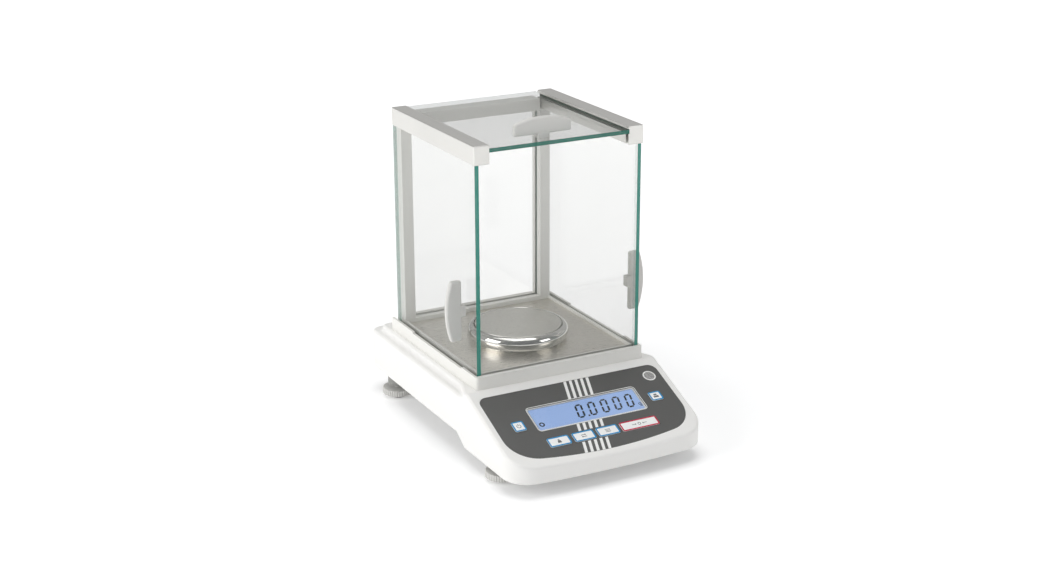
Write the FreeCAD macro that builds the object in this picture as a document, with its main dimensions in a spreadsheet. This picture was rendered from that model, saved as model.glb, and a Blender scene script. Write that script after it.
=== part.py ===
import FreeCAD, Part
import math
import os
import re

import Sketcher

# An analytical balance with a glass draught shield. Millimetres, +Z up, the panel faces -Y.
# The origin is on the surface that the feet stand on, under the middle of the housing.

DIMENSIONS = {
    # housing: a shell that is low under the panel and higher behind it
    "housing_width": 214,
    "housing_length": 340,
    "rear_underside": 25,
    "nose_underside": 14,
    "step_setback": 4.5,
    "step_run": 18,
    "deck_top": 73,
    "shoulder_drop": 6.5,
    "deck_inset": 8,
    "deck_rear_inset": 12,
    "flare_run": 22,
    "nose_arc": 1000,
    "panel_reach": 105.5,
    "panel_slope": 22.37,
    "rear_corner": 13,
    "nose_corner": 27,
    "deck_corner": 8,
    "flare_corner": 24,
    "edge_round": 3,
    "rim_round": 2,
    "shell": 3,
    "fit_gap": 0.3,
    "overshoot": 1,
    # base plate with its foot bosses
    "plate": 2.5,
    "plate_recess": 2,
    "boss_radius": 11,
    "boss_rise": 6,
    "hook_hole": 13,
    "screw_radius": 1.5,
    "screw_head": 3,
    "screw_head_height": 1.8,
    "screw_length": 12,
    "screw_gap": 0.05,
    "pillar_radius": 4.5,
    "screw_side_inset": 19,
    "screw_front": 30,
    "screw_rear_inset": 20,
    "screw_nose_spread": 60,
    "screw_nose_inset": 11,
    "cover_radius": 16,
    "cover_thickness": 1.6,
    "cover_gap": 0.2,
    "cover_arm": 24,
    "cover_arm_half": 6,
    "cover_pin": 2,
    # feet
    "foot_side_inset": 15,
    "foot_front_inset": 58,
    "foot_rear_inset": 40,
    "wheel_radius": 17,
    "wheel_height": 6.5,
    "wheel_teeth": 40,
    "tooth_radius": 0.9,
    "pad_radius": 9.5,
    "pad_height": 3.2,
    "stud_radius": 4,
    "stud_drop": 1,
    "pin_radius": 3,
    "pin_depth": 2,
    "running_gap": 0.05,
    # panel, measured across and down its slope from the bend
    "overlay_inset": 7.5,
    "overlay_top": 9.6,
    "overlay_bottom": 106,
    "overlay_top_corner": 9,
    "overlay_bottom_corner": 32,
    "overlay_arc": 440,
    "overlay_thickness": 0.8,
    "recess_depth": 1,
    "window_left": 58.8,
    "window_right": 61.7,
    "window_top": 34.6,
    "window_bottom": 66.2,
    "window_corner": 3,
    "window_ledge": 1.4,
    "panel_gap": 0.15,
    "lcd_flange": 2.5,
    "lcd_start": 1.6,
    "lcd_body_start": 3.4,
    "board_depth": 9.8,
    "board_thickness": 1.6,
    "board_inset": 15,
    "board_top": 36,
    "board_bottom": 97,
    "board_post_radius": 3,
    "board_post_inset": 6,
    "board_post_top": 40,
    "board_post_bottom": 91,
    "key_corner": 2,
    "key_proud": 0.2,
    "key_cap": 4.4,
    "key_flange": 1,
    "key_flange_thickness": 1,
    "key_gap": 0.25,
    "key_stem_radius": 2.2,
    "key_travel": 0.5,
    "key_edge": 0.3,
    "switch_size": 6,
    "switch_height": 4.1,
    "vial_across": 86.8,
    "vial_down": 24.7,
    "vial_window_radius": 6.8,
    "vial_radius": 6.2,
    "vial_height": 7,
    "vial_depth": 6.2,
    "vial_wall": 1,
    "vial_socket": 1.8,
    # draught shield: base frame and floor plate
    "frame_inset": 5,
    "frame_lip": 3,
    "frame_setback": 2.1,
    "frame_length": 199.9,
    "frame_height": 13,
    "frame_corner": 3,
    "front_ledge": 4.9,
    "lip_drop": 1.7,
    "lip_start": 33.8,
    "lip_end": 52.1,
    "floor_margin": 3,
    "floor_clearance": 2.5,
    "floor_ledge": 6,
    "floor_drop": 2.6,
    "floor_thickness": 0.8,
    "rear_strip_rise": 1.5,
    # glass
    "glass": 4,
    "glass_gap": 0.3,
    "groove_depth": 6,
    "rear_groove_depth": 2,
    "pane_gap": 0.4,
    "door_bearing": 6.1,
    "door_overrun": 0.7,
    "lid_height": 11.2,
    "lid_bearing": 2.6,
    "lid_setback": 0.5,
    "rear_pane_depth": 6.5,
    "rear_pane_bearing": 1,
    "rear_pane_rise": 3,
    # rails and posts
    "shield_height": 210.4,
    "rail_cover": 1.2,
    "rail_width": 16.3,
    "rail_height": 18.6,
    "rail_overhang": 2,
    "rail_setback": 9,
    "rail_edge": 0.8,
    "post_gap": 0.5,
    "post_width": 12,
    "post_depth": 18,
    "post_foot": 12,
    "shield_screw_slack": 3,
    "post_edge": 0.6,
    "rear_rail_gap": 0.2,
    "rear_rail_height": 12.7,
    # handles
    "handle_length": 62,
    "handle_depth": 17,
    "handle_arc": 90,
    "handle_thickness": 6,
    "handle_round": 2.4,
    "stem_width": 11,
    "stem_thickness": 7,
    "stem_length": 3.6,
    "handle_setback": 26,
    "handle_rise": 60.5,
    "top_handle_x": 12,
    "top_handle_setback": 15,
    # pan and what carries it
    "pan_setback": 108,
    "pan_radius": 45,
    "pan_height": 15.2,
    "pan_thickness": 2.2,
    "pan_edge": 0.8,
    "hub_radius": 7,
    "pan_gap": 0.8,
    "ring_width": 6.2,
    "ring_step": 3.2,
    "ring_drop": 0.4,
    "ring_belly_rise": 8.1,
    "ring_foot_width": 1.2,
    "ring_foot_arc": 14.1,
    "ring_top_arc": 7,
    "ring_lip": 0.4,
    "carrier_hole": 9,
    "carrier_rise": 4.6,
    "carrier_tip": 6,
    "carrier_collar": 2,
    "carrier_pin": 3,
    "carrier_rod": 4,
    "stirrup_depth": 10.5,
    # weigh cell
    "cell_half_width": 28,
    "cell_setback": 15.5,
    "cell_length": 53,
    "cell_floor": 8,
    "cell_wall": 8,
    "cell_height": 34,
    "pivot_setback": 25.5,
    "pivot_height": 23,
    "pivot_radius": 2,
    "lever_half_width": 6,
    "lever_height": 6,
    "lever_setback": 6.5,
    "lever_overrun": 8,
    "coil_setback": 90.5,
    "coil_outer": 11.5,
    "coil_inner": 10,
    "coil_rise": 9.5,
    "coil_gap": 1,
    "yoke_radius": 18,
    "yoke_height": 17.5,
    "yoke_gap_depth": 12,
    "sensor_setback": 112.5,
    "sensor_half_width": 10,
    "sensor_height": 30,
    "sensor_thickness": 4,
    # electronics at the back
    "main_left": 81,
    "main_right": 31,
    "main_setback": 6.5,
    "main_rear_inset": 10,
    "standoff": 10,
    "standoff_radius": 3,
    "standoff_inset": 6,
    "standoff_rear_inset": 42,
    "serial_x": 65,
    "serial_half_width": 9.5,
    "serial_height": 10,
    "serial_taper": 1.5,
    "serial_wall": 0.8,
    "serial_mouth": 5.5,
    "serial_pin": 0.5,
    "serial_pitch": 2.7,
    "serial_flange": 15.4,
    "serial_flange_thickness": 1,
    "jack_x": 40,
    "jack_half_width": 6,
    "jack_height": 11,
    "jack_bore": 3.2,
    "jack_pin": 1,
    "jack_depth": 9,
    "connector_length": 14,
}

# Places and sizes that follow from those. Fronts are given as distances ahead of the middle.
FOLLOWS = {
    "half_width": "housing_width / 2",
    "half_length": "housing_length / 2",
    "panel_start": "half_length - panel_reach",
    "step_front": "panel_start - step_setback",
    "step_rear": "step_front - step_run",
    "flare_front": "panel_start - step_setback",
    "flare_rear": "flare_front - flare_run",
    "wall_top": "deck_top - shoulder_drop",
    "deck_half": "half_width - deck_inset",
    "deck_rear": "half_length - deck_rear_inset",
    "nose_top": "deck_top - panel_reach * tan(panel_slope)",
    "beyond": "half_width + deck_inset",
    "rear_plate": "rear_underside + plate_recess",
    "rear_plate_top": "rear_plate + plate",
    "nose_plate": "nose_underside + plate_recess",
    "nose_plate_top": "nose_plate + plate",
    "boss_top": "rear_underside + boss_rise",
    "stud_top": "boss_top - stud_drop",
    "screw_spread": "half_width - screw_side_inset",
    "screw_rear": "half_length - screw_rear_inset",
    "screw_nose": "half_length - screw_nose_inset",
    "foot_spread": "half_width - foot_side_inset",
    "foot_front": "half_length - foot_front_inset",
    "foot_rear": "half_length - foot_rear_inset",
    "overlay_half_width": "half_width - overlay_inset",
    "board_half_width": "half_width - board_inset",
    "board_post_across": "board_half_width - board_post_inset",
    "switch_top": "switch_height - board_depth",
    "key_foot": "key_proud - key_cap",
    "vial_y": "-panel_start - vial_down * cos(panel_slope)",
    "vial_z": "deck_top - vial_down * sin(panel_slope)",
    "vial_top": "vial_z - vial_depth",
    "frame_half_width": "deck_half - frame_inset",
    "frame_front": "panel_start - frame_setback",
    "frame_rear": "frame_length - frame_front",
    "frame_top": "deck_top + frame_height",
    "lip_front": "frame_front - lip_start",
    "lip_rear": "frame_rear - lip_end",
    "door_outer": "frame_half_width - frame_lip",
    "door_inner": "door_outer - glass",
    "door_front": "frame_front - front_ledge",
    "door_rear": "rail_rear + door_overrun",
    "door_top": "rail_bottom + door_bearing",
    "groove_inner": "door_inner - glass_gap",
    "groove_outer": "door_outer + glass_gap",
    "glass_seat": "frame_top - groove_depth",
    "floor_half_width": "door_inner - floor_margin",
    "floor_front": "front_glass_rear - floor_clearance",
    "floor_rear": "post_front - post_gap",
    "floor_top": "frame_top - floor_drop",
    "floor_seat": "floor_top - floor_thickness",
    "front_glass_half": "door_inner - pane_gap",
    "front_glass_rear": "door_front - glass",
    "front_glass_top": "top_glass_bottom - glass_gap",
    "rear_glass_half": "post_inner + rear_pane_bearing",
    "rear_glass_front": "post_rear - rear_pane_depth - glass",
    "rear_glass_top": "rear_rail_bottom + rear_pane_rise",
    "top_glass_half": "rail_inner + lid_bearing",
    "top_glass_front": "rail_front - lid_setback",
    "top_glass_rear": "post_rear",
    "top_glass_bottom": "rail_bottom + lid_height",
    "top_glass_top": "top_glass_bottom + glass",
    "rail_outer": "door_outer + rail_cover",
    "rail_inner": "rail_outer - rail_width",
    "rail_front": "door_front + rail_overhang",
    "rail_rear": "post_rear - rail_setback",
    "rail_bottom": "frame_top + shield_height",
    "rail_top": "rail_bottom + rail_height",
    "post_outer": "door_inner - post_gap",
    "post_inner": "post_outer - post_width",
    "post_rear": "frame_rear - post_gap",
    "post_front": "post_rear - post_depth",
    "rear_rail_half": "post_inner - rear_rail_gap",
    "rear_rail_top": "top_glass_bottom - pane_gap",
    "rear_rail_bottom": "rear_rail_top - rear_rail_height",
    "side_handle_y": "door_front - handle_setback",
    "side_handle_z": "frame_top + handle_rise",
    "top_handle_y": "top_glass_front - top_handle_setback",
    "pan_y": "frame_rear - pan_setback",
    "pan_top": "floor_top + pan_height",
    "pan_bottom": "pan_top - pan_thickness",
    "ring_inner": "pan_radius + pan_gap",
    "ring_outer": "ring_inner + ring_width",
    "ring_foot": "ring_inner + ring_step",
    "ring_top": "pan_top - ring_drop",
    "ring_belly": "floor_top + ring_belly_rise",
    "carrier_seat": "floor_top + carrier_rise",
    "carrier_top": "carrier_seat + carrier_tip",
    "carrier_bottom": "pivot_z - stirrup_depth",
    "cell_base": "rear_plate_top",
    "cell_front": "pan_y + cell_setback",
    "cell_rear": "cell_front + cell_length",
    "pivot_y": "pan_y + pivot_setback",
    "pivot_z": "cell_base + pivot_height",
    "lever_front": "pan_y + lever_setback",
    "lever_rear": "coil_y + lever_overrun",
    "lever_underside": "pivot_z - lever_height / 2",
    "coil_y": "pan_y + coil_setback",
    "coil_bottom": "cell_base + coil_rise",
    "yoke_top": "cell_base + yoke_height",
    "yoke_gap_outer": "coil_outer + coil_gap",
    "yoke_gap_inner": "coil_inner - coil_gap",
    "sensor_y": "pan_y + sensor_setback",
    "main_front": "pan_y + main_setback",
    "main_rear": "half_length - main_rear_inset",
    "main_board": "cell_base + standoff",
    "connector_base": "main_board + board_thickness",
    "connector_start": "half_length - connector_length",
    "jack_axis": "connector_base + jack_height / 2",
    "serial_axis": "connector_base + serial_height / 2",
}

doc = FreeCAD.newDocument("analytical_balance")
sheet = doc.addObject("Spreadsheet::Sheet", "Sizes")
for row, (alias, size) in enumerate(DIMENSIONS.items(), start=1):
    sheet.set(f"A{row}", alias)
    sheet.set(f"B{row}", str(size))
    sheet.setAlias(f"B{row}", alias)
doc.recompute()

KEYS = {
    # name: left, right, top and bottom edge on the panel
    "key_power": (-81.9, -69.7, 48.5, 61.3),
    "key_calibrate": (-58.1, -35.0, 77.7, 89.6),
    "key_units": (-31.1, -8.2, 77.7, 89.6),
    "key_menu": (-4.7, 18.4, 77.7, 89.6),
    "key_tare": (21.6, 62.8, 77.7, 89.6),
    "key_print": (71.8, 84.9, 47.1, 58.9),
}

SIDES = {"left": -1, "right": 1}
VERTICAL = FreeCAD.Vector(0, 0, 1)
NODES = {}


def bound(text):
    """The expression with every name traced back to the sheet's cells."""
    def written_out(match):
        name = match[0]
        if name in FOLLOWS:
            return "(" + bound(FOLLOWS[name]) + ")"
        return "Sizes." + name if name in DIMENSIONS else name

    return re.sub(r"[a-z_]+", written_out, str(text))


def value(text):
    """What an expression comes to now, in millimetres or degrees."""
    return float(sheet.evalExpression(bound(text)))


def bind(item, **expressions):
    """Tie an object's properties to the sheet; Base_x stands for Placement.Base.x."""
    for name, text in expressions.items():
        item.setExpression(name.replace("Base_", "Placement.Base."), bound(text))


def node(name, item):
    """Name a finished piece; its shape is written to a file of that name."""
    item.Label = name
    NODES[name] = item
    return item


def box(name, low, high):
    """A plain block between two corners."""
    item = doc.addObject("Part::Box", name)
    bind(item, Base_x=low[0], Base_y=low[1], Base_z=low[2])
    for side, start, end in zip(("Length", "Width", "Height"), low, high):
        item.setExpression(side, bound(f"({end}) - ({start})"))
    return item


def rod(name, centre, bottom, top, radius):
    """An upright cylinder."""
    item = doc.addObject("Part::Cylinder", name)
    bind(item, Base_x=centre[0], Base_y=centre[1], Base_z=bottom)
    bind(item, Radius=radius, Height=f"({top}) - ({bottom})")
    return item


def fuse(name, *pieces):
    item = doc.addObject("Part::MultiFuse", name)
    item.Shapes = list(pieces)
    return item


def cut(name, base, *tools):
    item = doc.addObject("Part::Cut", name)
    item.Base = base
    item.Tool = tools[0] if len(tools) == 1 else fuse(name + "_cuts", *tools)
    return item


def group(name, *pieces):
    """Several separate solids kept as one piece, such as a set of screws."""
    item = doc.addObject("Part::Compound", name)
    item.Links = list(pieces)
    return item


def arc_between(start, end, radius):
    """The short arc that leaves the straight line from start to end on its right."""
    chord = end - start
    left = VERTICAL.cross(chord).normalize()
    centre = (start + end) / 2 + left * (radius ** 2 - (chord.Length / 2) ** 2) ** 0.5
    angles = [math.atan2(p.y - centre.y, p.x - centre.x) for p in (start, end)]
    return Part.ArcOfCircle(Part.Circle(centre, VERTICAL, radius), *angles)


def sketch_on(body, plane, corners, offset="0"):
    """A closed outline, each corner held by two dimensions from the origin.

    Outlines run counter-clockwise. A corner with a third value starts an arc of that radius,
    which bulges outwards, or inwards where the value is negative.
    """
    sketch = body.newObject("Sketcher::SketchObject", body.Name + "_outline")
    support = [f for f in body.Origin.OriginFeatures if f.Role == plane][0]
    sketch.AttachmentSupport = [(support, "")]
    sketch.MapMode = "FlatFace"
    sketch.setExpression("AttachmentOffset.Base.z", bound(offset))
    points = [FreeCAD.Vector(value(corner[0]), value(corner[1]), 0) for corner in corners]
    first, last = [], []
    for line, (corner, start) in enumerate(zip(corners, points)):
        end = points[(line + 1) % len(points)]
        radius = value(corner[2]) if len(corner) == 3 else 0
        first.append(2 if radius < 0 else 1)
        last.append(1 if radius < 0 else 2)
        if radius > 0:
            sketch.addGeometry(arc_between(start, end, radius), False)
        elif radius < 0:
            sketch.addGeometry(arc_between(end, start, -radius), False)
        else:
            sketch.addGeometry(Part.LineSegment(start, end), False)
    for line in range(len(points)):
        after = (line + 1) % len(points)
        sketch.addConstraint(Sketcher.Constraint("Coincident", line, last[line], after, first[after]))
    for line, (corner, point) in enumerate(zip(corners, points)):
        for kind, text, size in (("DistanceX", corner[0], point.x), ("DistanceY", corner[1], point.y)):
            place = sketch.addConstraint(Sketcher.Constraint(kind, -1, 1, line, first[line], size))
            sketch.setExpression(f"Constraints[{place}]", bound(text))
        if len(corner) == 3:
            place = sketch.addConstraint(Sketcher.Constraint("Radius", line, abs(value(corner[2]))))
            sketch.setExpression(f"Constraints[{place}]", bound(f"abs({corner[2]})"))
    return sketch


def pad(body, sketch, length, symmetric=False, reverse=False):
    feature = body.newObject("PartDesign::Pad", body.Name + "_pad")
    feature.Profile = sketch
    feature.Midplane = symmetric
    feature.Reversed = reverse
    bind(feature, Length=length)
    doc.recompute()
    return feature


def pocket(body, plane, corners, offset, depth):
    """Cut an outline down from a height; it has to take material away."""
    before = body.Shape.Volume
    sketch = sketch_on(body, plane, corners, offset)
    feature = body.newObject("PartDesign::Pocket", body.Name + "_pocket")
    feature.Profile = sketch
    bind(feature, Length=depth)
    doc.recompute()
    if body.Shape.Volume > before - 1e-6:
        raise ValueError(f"a pocket of {body.Name} cuts nothing")
    return feature


def rectangle(left, right, low, high):
    return [(left, low), (right, low), (right, high), (left, high)]


def slab(name, corners, bottom, top):
    """A plate with an outline in XY."""
    body = doc.addObject("PartDesign::Body", name)
    pad(body, sketch_on(body, "XY_Plane", corners, bottom), f"({top}) - ({bottom})")
    return body


def turned(name, profile):
    """A body turned about Z from an outline of radius and height."""
    body = doc.addObject("PartDesign::Body", name)
    sketch = sketch_on(body, "XZ_Plane", profile)
    feature = body.newObject("PartDesign::Revolution", name + "_turn")
    feature.Profile = sketch
    feature.ReferenceAxis = (sketch, ["V_Axis"])
    feature.Angle = 360
    doc.recompute()
    return body


def soften(body, radius, wanted):
    """Round the edges that a test picks."""
    base = body.Tip
    names = [f"Edge{i}" for i, edge in enumerate(base.Shape.Edges, start=1) if wanted(edge)]
    if not names:
        raise ValueError(f"{body.Name} has no edge to soften")
    feature = body.newObject("PartDesign::Fillet", body.Name + "_soft")
    feature.Base = (base, names)
    bind(feature, Radius=radius)
    doc.recompute()
    return feature


def ends(edge):
    return edge.Vertexes[0].Point, edge.Vertexes[-1].Point


def upright(edge):
    first, last = ends(edge)
    level = (first - last).cross(VERTICAL).Length
    return level < 1e-6 < (first - last).Length


def middle(edge):
    return edge.valueAt((edge.FirstParameter + edge.LastParameter) / 2)


def at_height(height):
    level = value(height)
    return lambda edge: all(abs(p.z - level) < 1e-4 for p in (*ends(edge), middle(edge)))


def upright_between(low, high):
    """Upright edges whose middle has its Y in a range."""
    start, end = value(low), value(high)
    return lambda edge: upright(edge) and start <= middle(edge).y <= end


def on_panel(item, across="0", down="0"):
    """Lay a piece on the panel: its XY is the panel's surface, and its Z points out of it."""
    item.Placement = FreeCAD.Placement(FreeCAD.Vector(), FreeCAD.Rotation(FreeCAD.Vector(1, 0, 0), 1))
    item.setExpression("Placement.Rotation.Angle", bound("panel_slope"))
    item.setExpression("Placement.Base.x", bound(across))
    item.setExpression("Placement.Base.y", bound(f"-panel_start - ({down}) * cos(panel_slope)"))
    item.setExpression("Placement.Base.z", bound(f"deck_top - ({down}) * sin(panel_slope)"))
    return item


def panel_slab(name, left, right, top, bottom, inner, outer, corner=None, edge=None):
    """A plate parallel to the panel, given by distances down the slope and heights over it."""
    body = slab(name, rectangle(left, right, f"-({bottom})", f"-({top})"), inner, outer)
    if corner:
        soften(body, corner, upright)
    if edge:
        soften(body, edge, at_height(outer))
    return on_panel(body)


def panel_rod(name, across, down, inner, outer, radius):
    """A cylinder square to the panel."""
    item = doc.addObject("Part::Cylinder", name)
    bind(item, Radius=radius, Height=f"({outer}) - ({inner})")
    lift = f"({inner})"
    item.Placement = FreeCAD.Placement(FreeCAD.Vector(), FreeCAD.Rotation(FreeCAD.Vector(1, 0, 0), 1))
    item.setExpression("Placement.Rotation.Angle", bound("panel_slope"))
    item.setExpression("Placement.Base.x", bound(across))
    y = f"-panel_start - ({down}) * cos(panel_slope) - {lift} * sin(panel_slope)"
    z = f"deck_top - ({down}) * sin(panel_slope) + {lift} * cos(panel_slope)"
    item.setExpression("Placement.Base.y", bound(y))
    item.setExpression("Placement.Base.z", bound(z))
    return item


def rod_back(name, x, z, start, end, radius):
    """A cylinder that points backwards, along +Y."""
    item = doc.addObject("Part::Cylinder", name)
    item.Placement.Rotation = FreeCAD.Rotation(FreeCAD.Vector(1, 0, 0), -90)
    bind(item, Base_x=x, Base_y=start, Base_z=z, Radius=radius, Height=f"({end}) - ({start})")
    return item


def foot_places():
    """Name, X and Y of each foot."""
    for end, y in (("front", "-foot_front"), ("rear", "foot_rear")):
        for side, sign in SIDES.items():
            yield f"foot_{end}_{side}", f"{sign} * foot_spread", y


def screw_places():
    """X, Y, underside of the base plate and top of the pillar for each housing screw."""
    nose_ceiling = "deck_top - (screw_nose + pillar_radius - panel_start) * tan(panel_slope)"
    for sign in SIDES.values():
        for y in ("screw_front", "screw_rear"):
            yield f"{sign} * screw_spread", y, "rear_plate", "deck_top - shell / 2"
        yield f"{sign} * screw_nose_spread", "-screw_nose", "nose_plate", f"{nose_ceiling} - shell / 2"


def screw(name, centre, seat, length):
    """A pan-head screw that points up, its head under the seat."""
    shank = rod(name + "_shank", centre, seat, f"{seat} + {length}", "screw_radius")
    head = rod(name + "_head", centre, f"{seat} - screw_head_height", seat, "screw_head")
    return fuse(name, shank, head)


# ---------------------------------------------------------------- housing

def trim_nose(body, inset):
    """Cut the front back to a gentle arc in plan, with the same centre for shell and hollow."""
    radius = f"(nose_arc - {inset})"
    side_y = f"nose_arc - half_length - sqrt({radius} ^ 2 - beyond ^ 2)"
    ahead = "-half_length - nose_corner"
    corners = [
        ("-beyond", ahead),
        ("beyond", ahead),
        ("beyond", side_y, f"-{radius}"),
        ("-beyond", side_y),
    ]
    pocket(body, "XY_Plane", corners, "deck_top + overshoot", "deck_top + 2 * overshoot")


def housing_outside():
    """The outer form of the upper housing, rounded all over."""
    body = doc.addObject("PartDesign::Body", "housing_outside")
    side = [
        ("-half_length", "nose_top"),
        ("-half_length", "nose_underside"),
        ("-step_front", "nose_underside"),
        ("-step_rear", "rear_underside"),
        ("half_length", "rear_underside"),
        ("half_length", "deck_top"),
        ("-panel_start", "deck_top"),
    ]
    pad(body, sketch_on(body, "YZ_Plane", side), "housing_width", symmetric=True)
    shoulder = [
        ("-beyond", "-flare_front"),
        ("-half_width", "-flare_front"),
        ("-deck_half", "-flare_rear"),
        ("-deck_half", "deck_rear"),
        ("deck_half", "deck_rear"),
        ("deck_half", "-flare_rear"),
        ("half_width", "-flare_front"),
        ("beyond", "-flare_front"),
        ("beyond", "half_length + deck_inset"),
        ("-beyond", "half_length + deck_inset"),
    ]
    pocket(body, "XY_Plane", shoulder, "deck_top", "deck_top - wall_top")
    trim_nose(body, "0")
    soften(body, "rear_corner", upright_between("half_length - 1", "half_length + 1"))
    soften(body, "nose_corner", upright_between("-half_length", "nose_corner - half_length"))
    soften(body, "deck_corner", upright_between("deck_rear - 1", "deck_rear + 1"))
    soften(body, "flare_corner", upright_between("-flare_rear - 1", "1 - flare_rear"))
    nose_side = value("nose_top") - 1e-3
    bend = value("-panel_start")

    def above(edge):
        across = abs(middle(edge).x) < 1e-6 and abs(middle(edge).y - bend) < 1e-3
        return middle(edge).z > nose_side and not upright(edge) and not across

    def rim(edge):
        first, last = ends(edge)
        across = abs(middle(edge).x) < 1e-6 and abs(first.x - last.x) > value("half_width") * 1.9
        return middle(edge).z < nose_side and not upright(edge) and not across

    soften(body, "edge_round", above)
    soften(body, "rim_round", rim)
    return body


def housing_cavity():
    """The hollow of the upper housing, a shell's thickness inside its outer form."""
    body = doc.addObject("PartDesign::Body", "housing_cavity")
    length = "(half_length - shell)"
    ceiling = "(wall_top - shell)"
    slope_drop = "shell / cos(panel_slope)"
    side = [
        (f"-{length}", f"nose_top + shell * tan(panel_slope) - {slope_drop}"),
        (f"-{length}", "0"),
        (length, "0"),
        (length, ceiling),
        (f"-panel_start - (deck_top - {ceiling} - {slope_drop}) / tan(panel_slope)", ceiling),
    ]
    pad(body, sketch_on(body, "YZ_Plane", side), "housing_width - 2 * shell", symmetric=True)
    trim_nose(body, "shell")
    soften(body, "rear_corner - shell", upright_between(f"{length} - 1", f"{length} + 1"))
    soften(body, "nose_corner - shell", upright_between(f"-{length}", f"nose_corner - {length}"))
    return body


def deck_cavity():
    """The hollow continues up under the raised deck."""
    half = "(deck_half - shell)"
    corners = rectangle(f"-{half}", half, "-panel_start", "deck_rear - shell")
    return slab("deck_cavity", corners, "wall_top - 2 * shell", "deck_top - shell")


def overlay_body(name, margin, inner, outer):
    """A plate with the outline of the panel's overlay, grown by a margin."""
    half = f"(overlay_half_width + {margin})"
    radius = f"(overlay_arc + {margin})"
    side_end = f"(overlay_bottom - overlay_arc + sqrt({radius} ^ 2 - {half} ^ 2))"
    corners = [
        (f"-{half}", f"-{side_end}", radius),
        (half, f"-{side_end}"),
        (half, f"{margin} - overlay_top"),
        (f"-{half}", f"{margin} - overlay_top"),
    ]
    body = slab(name, corners, inner, outer)
    split = "-(overlay_top + overlay_bottom) / 2"
    soften(body, f"overlay_top_corner + {margin}", upright_between(split, "0"))
    soften(body, f"overlay_bottom_corner + {margin}", upright_between("-2 * overlay_bottom", split))
    return on_panel(body)


def key_openings(prefix, inner, outer):
    """One opening for each key, a gap larger than its cap."""
    openings = []
    for name, (left, right, top, bottom) in KEYS.items():
        openings.append(panel_slab(
            prefix + name, f"{left} - key_gap", f"{right} + key_gap", f"{top} - key_gap",
            f"{bottom} + key_gap", inner, outer, "key_corner + key_gap",
        ))
    return openings


def housing_openings():
    """What is cut out of the upper housing besides its hollow."""
    cuts = [overlay_body("recess_cut", "panel_gap", "-recess_depth", "recess_depth")]
    cuts.append(panel_slab(
        "window_cut", "window_ledge - window_left", "window_right - window_ledge",
        "window_top + window_ledge", "window_bottom - window_ledge",
        "-2 * shell", "0", "window_corner - window_ledge",
    ))
    cuts += key_openings("housing_cut_", "-2 * shell", "0")
    hole = "vial_window_radius - window_ledge / 2"
    cuts.append(panel_rod("vial_cut", "vial_across", "vial_down", "-2 * shell", "0", hole))
    above_deck = "deck_top + overshoot"
    cuts.append(rod("carrier_cut", ("0", "pan_y"), "deck_top - 2 * shell", above_deck, "carrier_hole"))
    wall = ("half_length - 2 * shell", "half_length + overshoot")
    for name, x, half, height in (
        ("serial_cut", "-serial_x", "(serial_half_width + fit_gap)", "serial_height"),
        ("jack_cut", "-jack_x", "(jack_half_width + fit_gap)", "jack_height"),
    ):
        low = (f"{x} - {half}", wall[0], "connector_base - fit_gap")
        high = (f"{x} + {half}", wall[1], f"connector_base + {height} + fit_gap")
        cuts.append(box(name, low, high))
    return cuts


def shield_screw_places():
    for sign in SIDES.values():
        yield f"{sign} * (post_inner + post_outer) / 2", "(post_front + post_rear) / 2"


def upper_housing():
    """The painted shell: outer form, hollow, pillars for the screws, posts for the display board."""
    shell = cut("housing_shell", housing_outside(), housing_cavity(), deck_cavity())
    solids = [shell]
    bores = housing_openings()
    gap_radius = "screw_radius + screw_gap"
    for index, (x, y, seat, top) in enumerate(screw_places()):
        solids.append(rod(f"pillar_{index}", (x, y), f"{seat} + plate", top, "pillar_radius"))
        bore_top = f"{seat} + screw_length + overshoot"
        bores.append(rod(f"pillar_bore_{index}", (x, y), seat, bore_top, gap_radius))
    for index, (x, y) in enumerate(shield_screw_places()):
        bores.append(rod(f"deck_bore_{index}", (x, y), "deck_top - 2 * shell",
                         "deck_top + overshoot", gap_radius))
    for down in ("board_post_top", "board_post_bottom"):
        for side, sign in SIDES.items():
            name = f"board_post_{down[-3:]}_{side}"
            solids.append(panel_rod(
                name, f"{sign} * board_post_across", down, "-board_depth", "-shell / 2",
                "board_post_radius",
            ))
            bores.append(panel_rod(
                name + "_bore", f"{sign} * board_post_across", down, "-board_depth",
                "-shell", gap_radius,
            ))
    socket_radius = "(vial_radius + vial_socket)"
    socket_top = f"vial_z - {socket_radius} * tan(panel_slope) - shell / 2"
    socket_bottom = "vial_top - vial_height"
    centre = ("vial_across", "vial_y")
    solids.append(rod("vial_socket", centre, socket_bottom, socket_top, socket_radius))
    bores.append(rod("vial_bore", centre, f"{socket_bottom} - overshoot", "vial_top",
                     "vial_radius + running_gap"))
    whole = fuse("housing_with_pillars", *solids)
    return node("upper_housing", cut("upper_housing", whole, *bores))


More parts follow.
